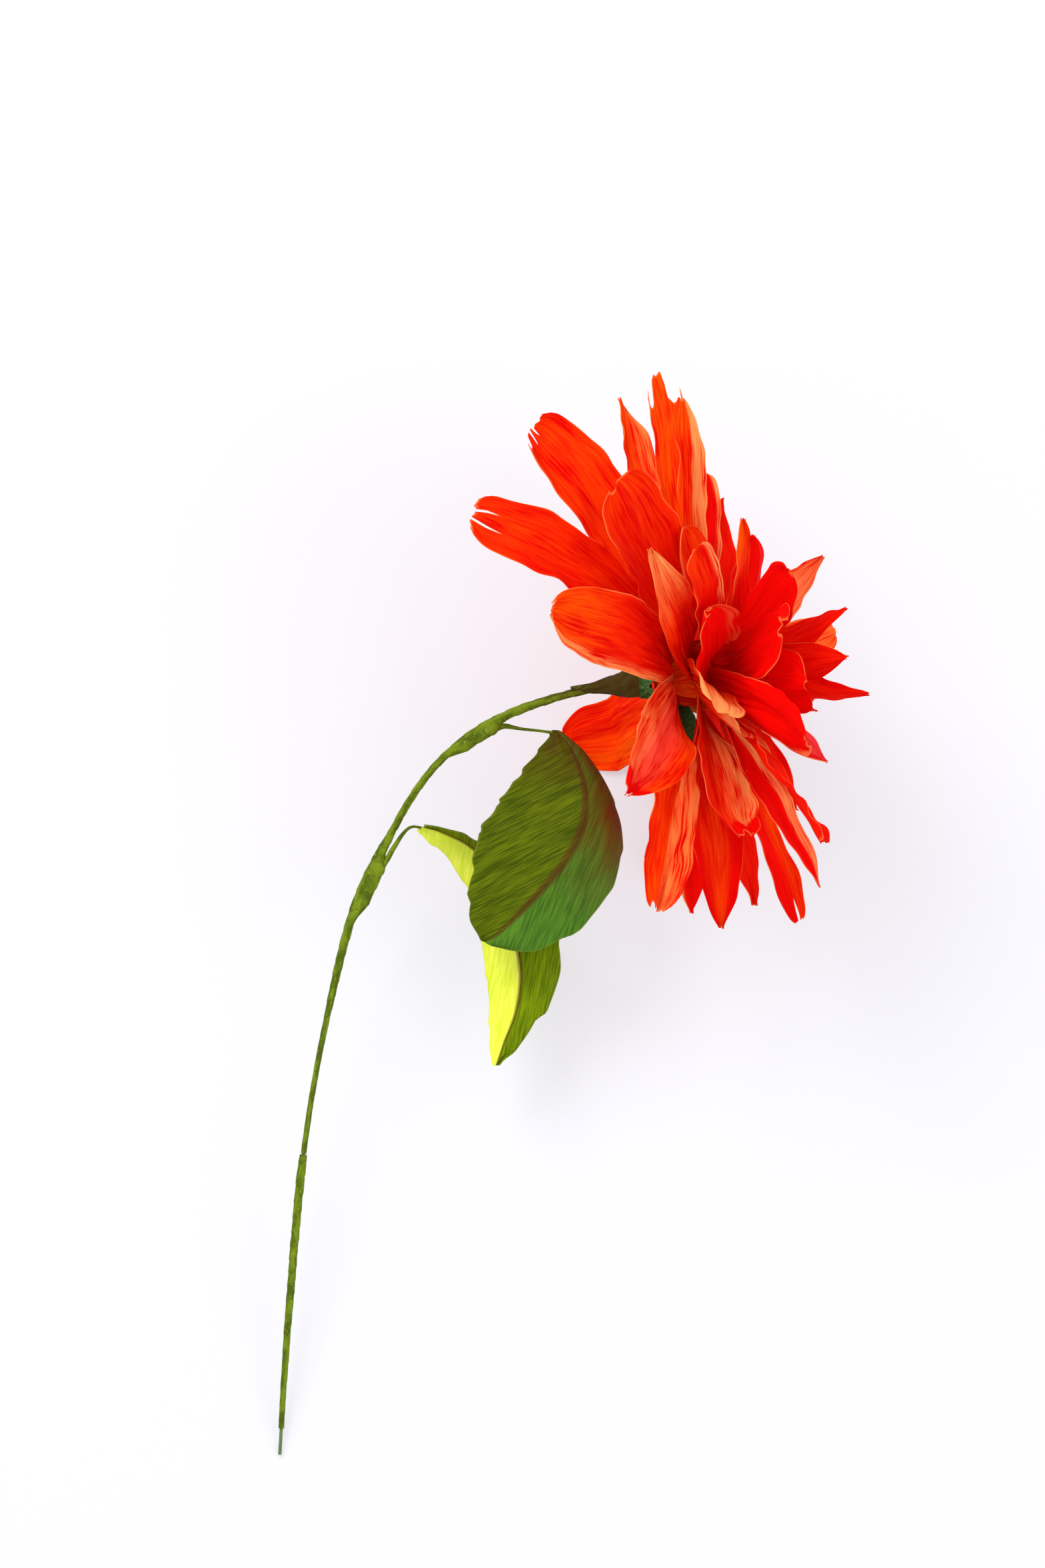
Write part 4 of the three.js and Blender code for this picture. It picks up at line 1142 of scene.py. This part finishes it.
# Orange is partly the paper's own streaks and partly painted light; the pale orange and the cut edge colour
# are painted highlights
ORANGE_STREAK_AND_LIGHT = colour(255, 100, 0)
PAINTED_HIGHLIGHT_ORANGE = colour(255, 190, 112)
PINK = colour(255, 84, 92)
PAINTED_EDGE_HIGHLIGHT = colour(255, 180, 100)
STEM_GREEN = colour(112, 134, 26)
STEM_DARK = colour(74, 92, 16)
# Yellow of the stem's flecks: partly the paper's own yellow marks, partly painted highlights
STEM_YELLOW_AND_HIGHLIGHT = colour(178, 186, 66)
# Painted shade for grooves and pleat valleys
PAINTED_SHADE_OLIVE = colour(50, 58, 12)
STEM_BROWN = colour(70, 56, 18)
CONE_GREEN = colour(78, 80, 28)
CONE_DARK = colour(48, 34, 10)
COLLAR_GREEN = colour(62, 100, 50)
COLLAR_DARK = colour(40, 66, 26)
LEAF_SEAM = colour(88, 26, 16)
LEAF_EDGE = colour(150, 150, 60)
WIRE_GREEN = colour(86, 112, 44)
WIRE_DARK = colour(60, 84, 30)
NOISE_SPAN = (0.36, 0.64)  # where most of a noise's values lie
TINT_THRESHOLD = 0.4  # height of the streaks below which a petal takes no tint
DARK_STREAKS = 0.28  # share of deep red for each unit that the streaks lie below their greatest height


def petal_paper():
    """Red crepe, streaked along its grain, with uneven tints, the orange partly painted light and the pale
    orange a painted highlight, and painted highlights along its cut edges.
    """
    material, tree = new_material("petal_crepe")
    grain = attribute(tree, "grain")
    orange_streak_and_light, painted_highlight, pink = attribute(tree, "tint")
    rim, _, _ = attribute(tree, "rim")
    fine = streaks(tree, grain, across_scale=1.7, along_scale=0.09)
    broad = streaks(tree, grain, across_scale=0.5, along_scale=0.04, detail=2.0)
    patches = streaks(tree, grain, across_scale=0.12, along_scale=0.05, detail=1.0)
    lines, bands, clouds = (spread_range(tree, noise, *NOISE_SPAN) for noise in (fine, broad, patches))
    weights = (1.2, 0.8, 0.8)
    swing = weighed(tree, *zip((lines, bands, clouds), weights))
    uneven = calculate(tree, "SUBTRACT", swing, TINT_THRESHOLD)
    below_full = calculate(tree, "SUBTRACT", sum(weights), swing)
    paint = mixed(tree, times(tree, below_full, DARK_STREAKS), RED, DEEP_RED)
    # Orange is partly painted light where a petal is lit or glows through; the pale orange is a painted
    # highlight
    for share, tone in ((orange_streak_and_light, ORANGE_STREAK_AND_LIGHT), (pink, PINK), (painted_highlight, PAINTED_HIGHLIGHT_ORANGE)):
        paint = mixed(tree, calculate(tree, "MULTIPLY", share, uneven, clamp=True), paint, tone)
    # Painted highlight along the cut edges, where they catch the light, patchy along them
    at_rim = spread_range(tree, rim, 0.35, 0.95)
    edge = times(tree, at_rim, spread_range(tree, patches, 0.35, 0.6))
    paint = mixed(tree, times(tree, edge, 0.5), paint, PAINTED_EDGE_HIGHLIGHT)
    return paper_surface(material, tree, paint, fine, relief_height=0.25, through=0.4)


def stem_paper(name, light, dark, brown_from):
    """Wound crepe: yellow flecks, partly painted highlights, painted shade in the grooves at the strip's
    lapped edges, and a browner end at the bloom.
    """
    material, tree = new_material(name)
    grain = attribute(tree, "grain")
    lap, closeness, _ = attribute(tree, "tint")
    fine = streaks(tree, grain, across_scale=2.2, along_scale=1.1)
    patches = streaks(tree, grain, across_scale=0.5, along_scale=0.16, detail=2.0)
    paint = mixed(tree, spread_range(tree, patches, 0.35, 0.65), light, dark)
    # Yellow flecks along the grain, partly the paper's own marks and partly painted highlights
    paint = mixed(tree, spread_range(tree, fine, 0.58, 0.75, to_high=0.6), paint, STEM_YELLOW_AND_HIGHLIGHT)
    # Painted shade in the groove at each lapped edge of the strip, in the cone's pleat valleys and towards
    # the collar's toothed rim
    paint = mixed(tree, spread_range(tree, lap, 0.86, 1.0, to_high=0.75), paint, PAINTED_SHADE_OLIVE)
    browned = calculate(tree, "ADD", closeness, times(tree, patches, 0.5))
    brown_share = spread_range(tree, browned, brown_from, brown_from + 0.7, to_high=0.85)
    paint = mixed(tree, brown_share, paint, STEM_BROWN)
    return paper_surface(material, tree, paint, fine, relief_height=0.15, through=0.08, rough=0.7)


def leaf_paper(name, light, dark, blush, root_span, edge_span, strength, grain_scale, through):
    """Dyed crepe leaf: fine striations along the grain and a blush from the root and the edge.
    The lower leaf's left half is given bright colours that are painted light shining through it.
    """
    material, tree = new_material(name)
    grain = attribute(tree, "grain")
    along, across, _ = attribute(tree, "tint")
    rim, seam, _ = attribute(tree, "rim")
    fine = streaks(tree, grain, across_scale=2.6 * grain_scale, along_scale=0.12)
    broad = streaks(tree, grain, across_scale=0.3, along_scale=0.05, detail=2.0)
    patches = streaks(tree, grain, across_scale=0.07, along_scale=0.05, detail=2.0)
    tone = weighed(tree, (fine, 0.75), (broad, 0.25))
    paint = mixed(tree, spread_range(tree, tone, 0.36, 0.66), dark, light)
    near_root = spread_range(tree, along, *root_span)
    near_edge = spread_range(tree, across, *edge_span)
    share = times(tree, near_root, near_edge)
    uneven = spread_range(tree, patches, 0.3, 0.6, to_low=0.4)
    share = times(tree, share, uneven)
    paint = mixed(tree, times(tree, share, strength), paint, blush)
    paint = mixed(tree, times(tree, seam, 0.6), paint, LEAF_SEAM)
    paint = mixed(tree, times(tree, rim, 0.35), paint, LEAF_EDGE)
    return paper_surface(material, tree, paint, fine, relief_height=0.2, through=through, rough=0.7)


def wire_paint():
    material, tree = new_material("wire_green")
    wear = streaks(tree, attribute(tree, "grain"), across_scale=1.5, along_scale=0.5)
    paint = mixed(tree, spread_range(tree, wear, 0.4, 0.7), WIRE_GREEN, WIRE_DARK)
    rough = spread_range(tree, wear, 0.3, 0.7, to_low=0.35, to_high=0.55)
    show(tree, add_node(tree, "BsdfPrincipled", Base_Color=paint, Roughness=rough))
    return material


stem_material = stem_paper("stem_crepe", STEM_GREEN, STEM_DARK, brown_from=0.7)
cone_material = stem_paper("cone_crepe", CONE_GREEN, CONE_DARK, brown_from=0.5)
collar_material = stem_paper("collar_crepe", COLLAR_GREEN, COLLAR_DARK, brown_from=2.0)
wire_material = wire_paint()
dark_leaf = leaf_paper(
    "dark_leaf_crepe", light=colour(100, 116, 6), dark=colour(58, 74, 0), blush=colour(76, 34, 8),
    root_span=(0.36, 0.1), edge_span=(1.6, 0.4), strength=0.85, grain_scale=1.0, through=0.12)
blue_leaf = leaf_paper(
    "blue_leaf_crepe", light=colour(90, 138, 38), dark=colour(60, 102, 26), blush=colour(116, 48, 12),
    root_span=(0.75, 0.3), edge_span=(-0.4, 0.5), strength=0.9, grain_scale=0.8, through=0.12)
# Lower leaf's left half: its bright yellow-green is painted light shining through the paper, less towards the
# root and the rib
painted_backlit_leaf = leaf_paper(
    "painted_backlit_leaf_crepe", light=colour(250, 254, 100), dark=colour(228, 240, 64), blush=colour(170, 196, 40),
    root_span=(0.4, 0.05), edge_span=(1.0, -0.2), strength=0.5, grain_scale=0.5, through=0.3)
mid_leaf = leaf_paper(
    "mid_leaf_crepe", light=colour(136, 162, 8), dark=colour(86, 112, 2), blush=colour(70, 96, 6),
    root_span=(0.4, 0.05), edge_span=(1.0, -0.2), strength=0.5, grain_scale=1.0, through=0.25)

# The pieces
bare_wire()
wound_stem("lower_stem_wrap", LOWER_WRAP, UPPER_WRAP[0][0] - GLUE_GAP, seed=11)
upper_wrap_end = stem_length - WIRE_DEPTH - HEAD_BACK + CONE_PROFILE[0][0] - GLUE_GAP
wound_stem("stem_wrap", UPPER_WRAP, upper_wrap_end, seed=21)
calyx_cone()
calyx_collar()
petal_material = petal_paper()
flower_core()
for whorl_number, (whorl, rows) in enumerate(PETALS.items(), start=1):
    for number, row in enumerate(rows, start=1):
        seed = WHORL_SEED_STEP * whorl_number + PETAL_SEED_STEP * number
        petal(f"{whorl}_{number:02d}", row, seed)
half_blade(
    "upper_leaf_left_half", UPPER_RIB, UPPER_FACING, 1, UPPER_LEFT_WIDTHS, UPPER_LEFT_FOLDS,
    teeth=7, tooth_depth=1.8, grain_angle=28, seed=61, material=dark_leaf)
half_blade(
    "upper_leaf_right_half", UPPER_RIB, UPPER_FACING, -1, UPPER_RIGHT_WIDTHS, UPPER_RIGHT_FOLDS,
    teeth=6, tooth_depth=1.2, grain_angle=68, seed=62, material=blue_leaf)
half_blade(
    "lower_leaf_left_half", LOWER_RIB, LOWER_FACING, 1, LOWER_LEFT_WIDTHS, LOWER_LEFT_FOLDS,
    teeth=6, tooth_depth=1.2, grain_angle=80, seed=63, material=painted_backlit_leaf)
half_blade(
    "lower_leaf_right_half", LOWER_RIB, LOWER_FACING, -1, LOWER_RIGHT_WIDTHS, LOWER_RIGHT_FOLDS,
    teeth=5, tooth_depth=3, grain_angle=80, seed=64, material=mid_leaf)
leaf_wire("upper_leaf_wire", UPPER_STALK, UPPER_RIB, UPPER_FACING, seed=71)
leaf_wire("lower_leaf_wire", LOWER_STALK, LOWER_RIB, LOWER_FACING, seed=72)


# Floor, light and camera
PHOTO_HEIGHT = 2352
PHOTO_SCALE = 0.000215  # metres for each pixel of the photograph
PHOTO_MIDDLE = np.array((-45.4, -33.8, 0))
CAMERA_DISTANCE = 3.0
FLOOR_SIZE = 8.0
FLOOR_DROP = 0.0002
FLOOR_COLOUR = colour(238, 238, 244)
FLOOR_GLOW = 0.6  # how far the floor shows its own colour, whatever light falls on it
WORLD_STRENGTH = 0.95
target = Vector(laid(PHOTO_MIDDLE))


def studio_floor():
    bpy.ops.mesh.primitive_plane_add(size=FLOOR_SIZE, location=(0, 0, -FLOOR_DROP))
    floor = bpy.context.object
    floor.name = "floor"
    material, tree = new_material("floor_white")
    matt = add_node(tree, "BsdfDiffuse", Color=FLOOR_COLOUR)
    lit = add_node(tree, "Emission", Color=FLOOR_COLOUR)
    rays = tree.nodes.new("ShaderNodeLightPath").outputs
    seen = calculate(tree, "MAXIMUM", rays["Is Camera Ray"], rays["Is Glossy Ray"])
    seen = calculate(tree, "MAXIMUM", seen, rays["Is Transmission Ray"])
    show_both(tree, times(tree, seen, FLOOR_GLOW), matt, lit)
    floor.data.materials.append(material)


def studio_world():
    world = bpy.data.worlds.new("studio")
    bpy.context.scene.world = world
    world.use_nodes = True
    background = world.node_tree.nodes["Background"]
    background.inputs["Color"].default_value = (1, 1, 1, 1)
    background.inputs["Strength"].default_value = WORLD_STRENGTH


def soft_lamp(name, offset, size, power):
    lamp = bpy.data.lights.new(name, "AREA")
    lamp.shape = "DISK"
    lamp.size = size
    lamp.energy = power
    holder = bpy.data.objects.new(name, lamp)
    bpy.context.scene.collection.objects.link(holder)
    holder.location = target + Vector(offset)
    holder.rotation_euler = (-Vector(offset)).to_track_quat("-Z", "Y").to_euler()


def photo_camera():
    """A camera square to the flower's own frame, that takes in the photograph's height."""
    data = bpy.data.cameras.new("camera")
    data.lens = data.sensor_width / 2 * CAMERA_DISTANCE / (PHOTO_HEIGHT * PHOTO_SCALE / 2)
    camera = bpy.data.objects.new("camera", data)
    bpy.context.scene.collection.objects.link(camera)
    toward_camera = Vector(lay @ np.array((0, 0, 1.0)))
    place = Matrix.Translation(target + toward_camera * CAMERA_DISTANCE)
    camera.matrix_world = place @ Matrix(lay.tolist()).to_4x4()
    bpy.context.scene.camera = camera


studio_floor()
studio_world()
soft_lamp("key", offset=(-0.7, 0.6, 1.0), size=0.8, power=11)
soft_lamp("fill", offset=(0.9, -0.3, 0.9), size=1.0, power=4)
photo_camera()
bpy.context.scene.view_settings.view_transform = "Standard"
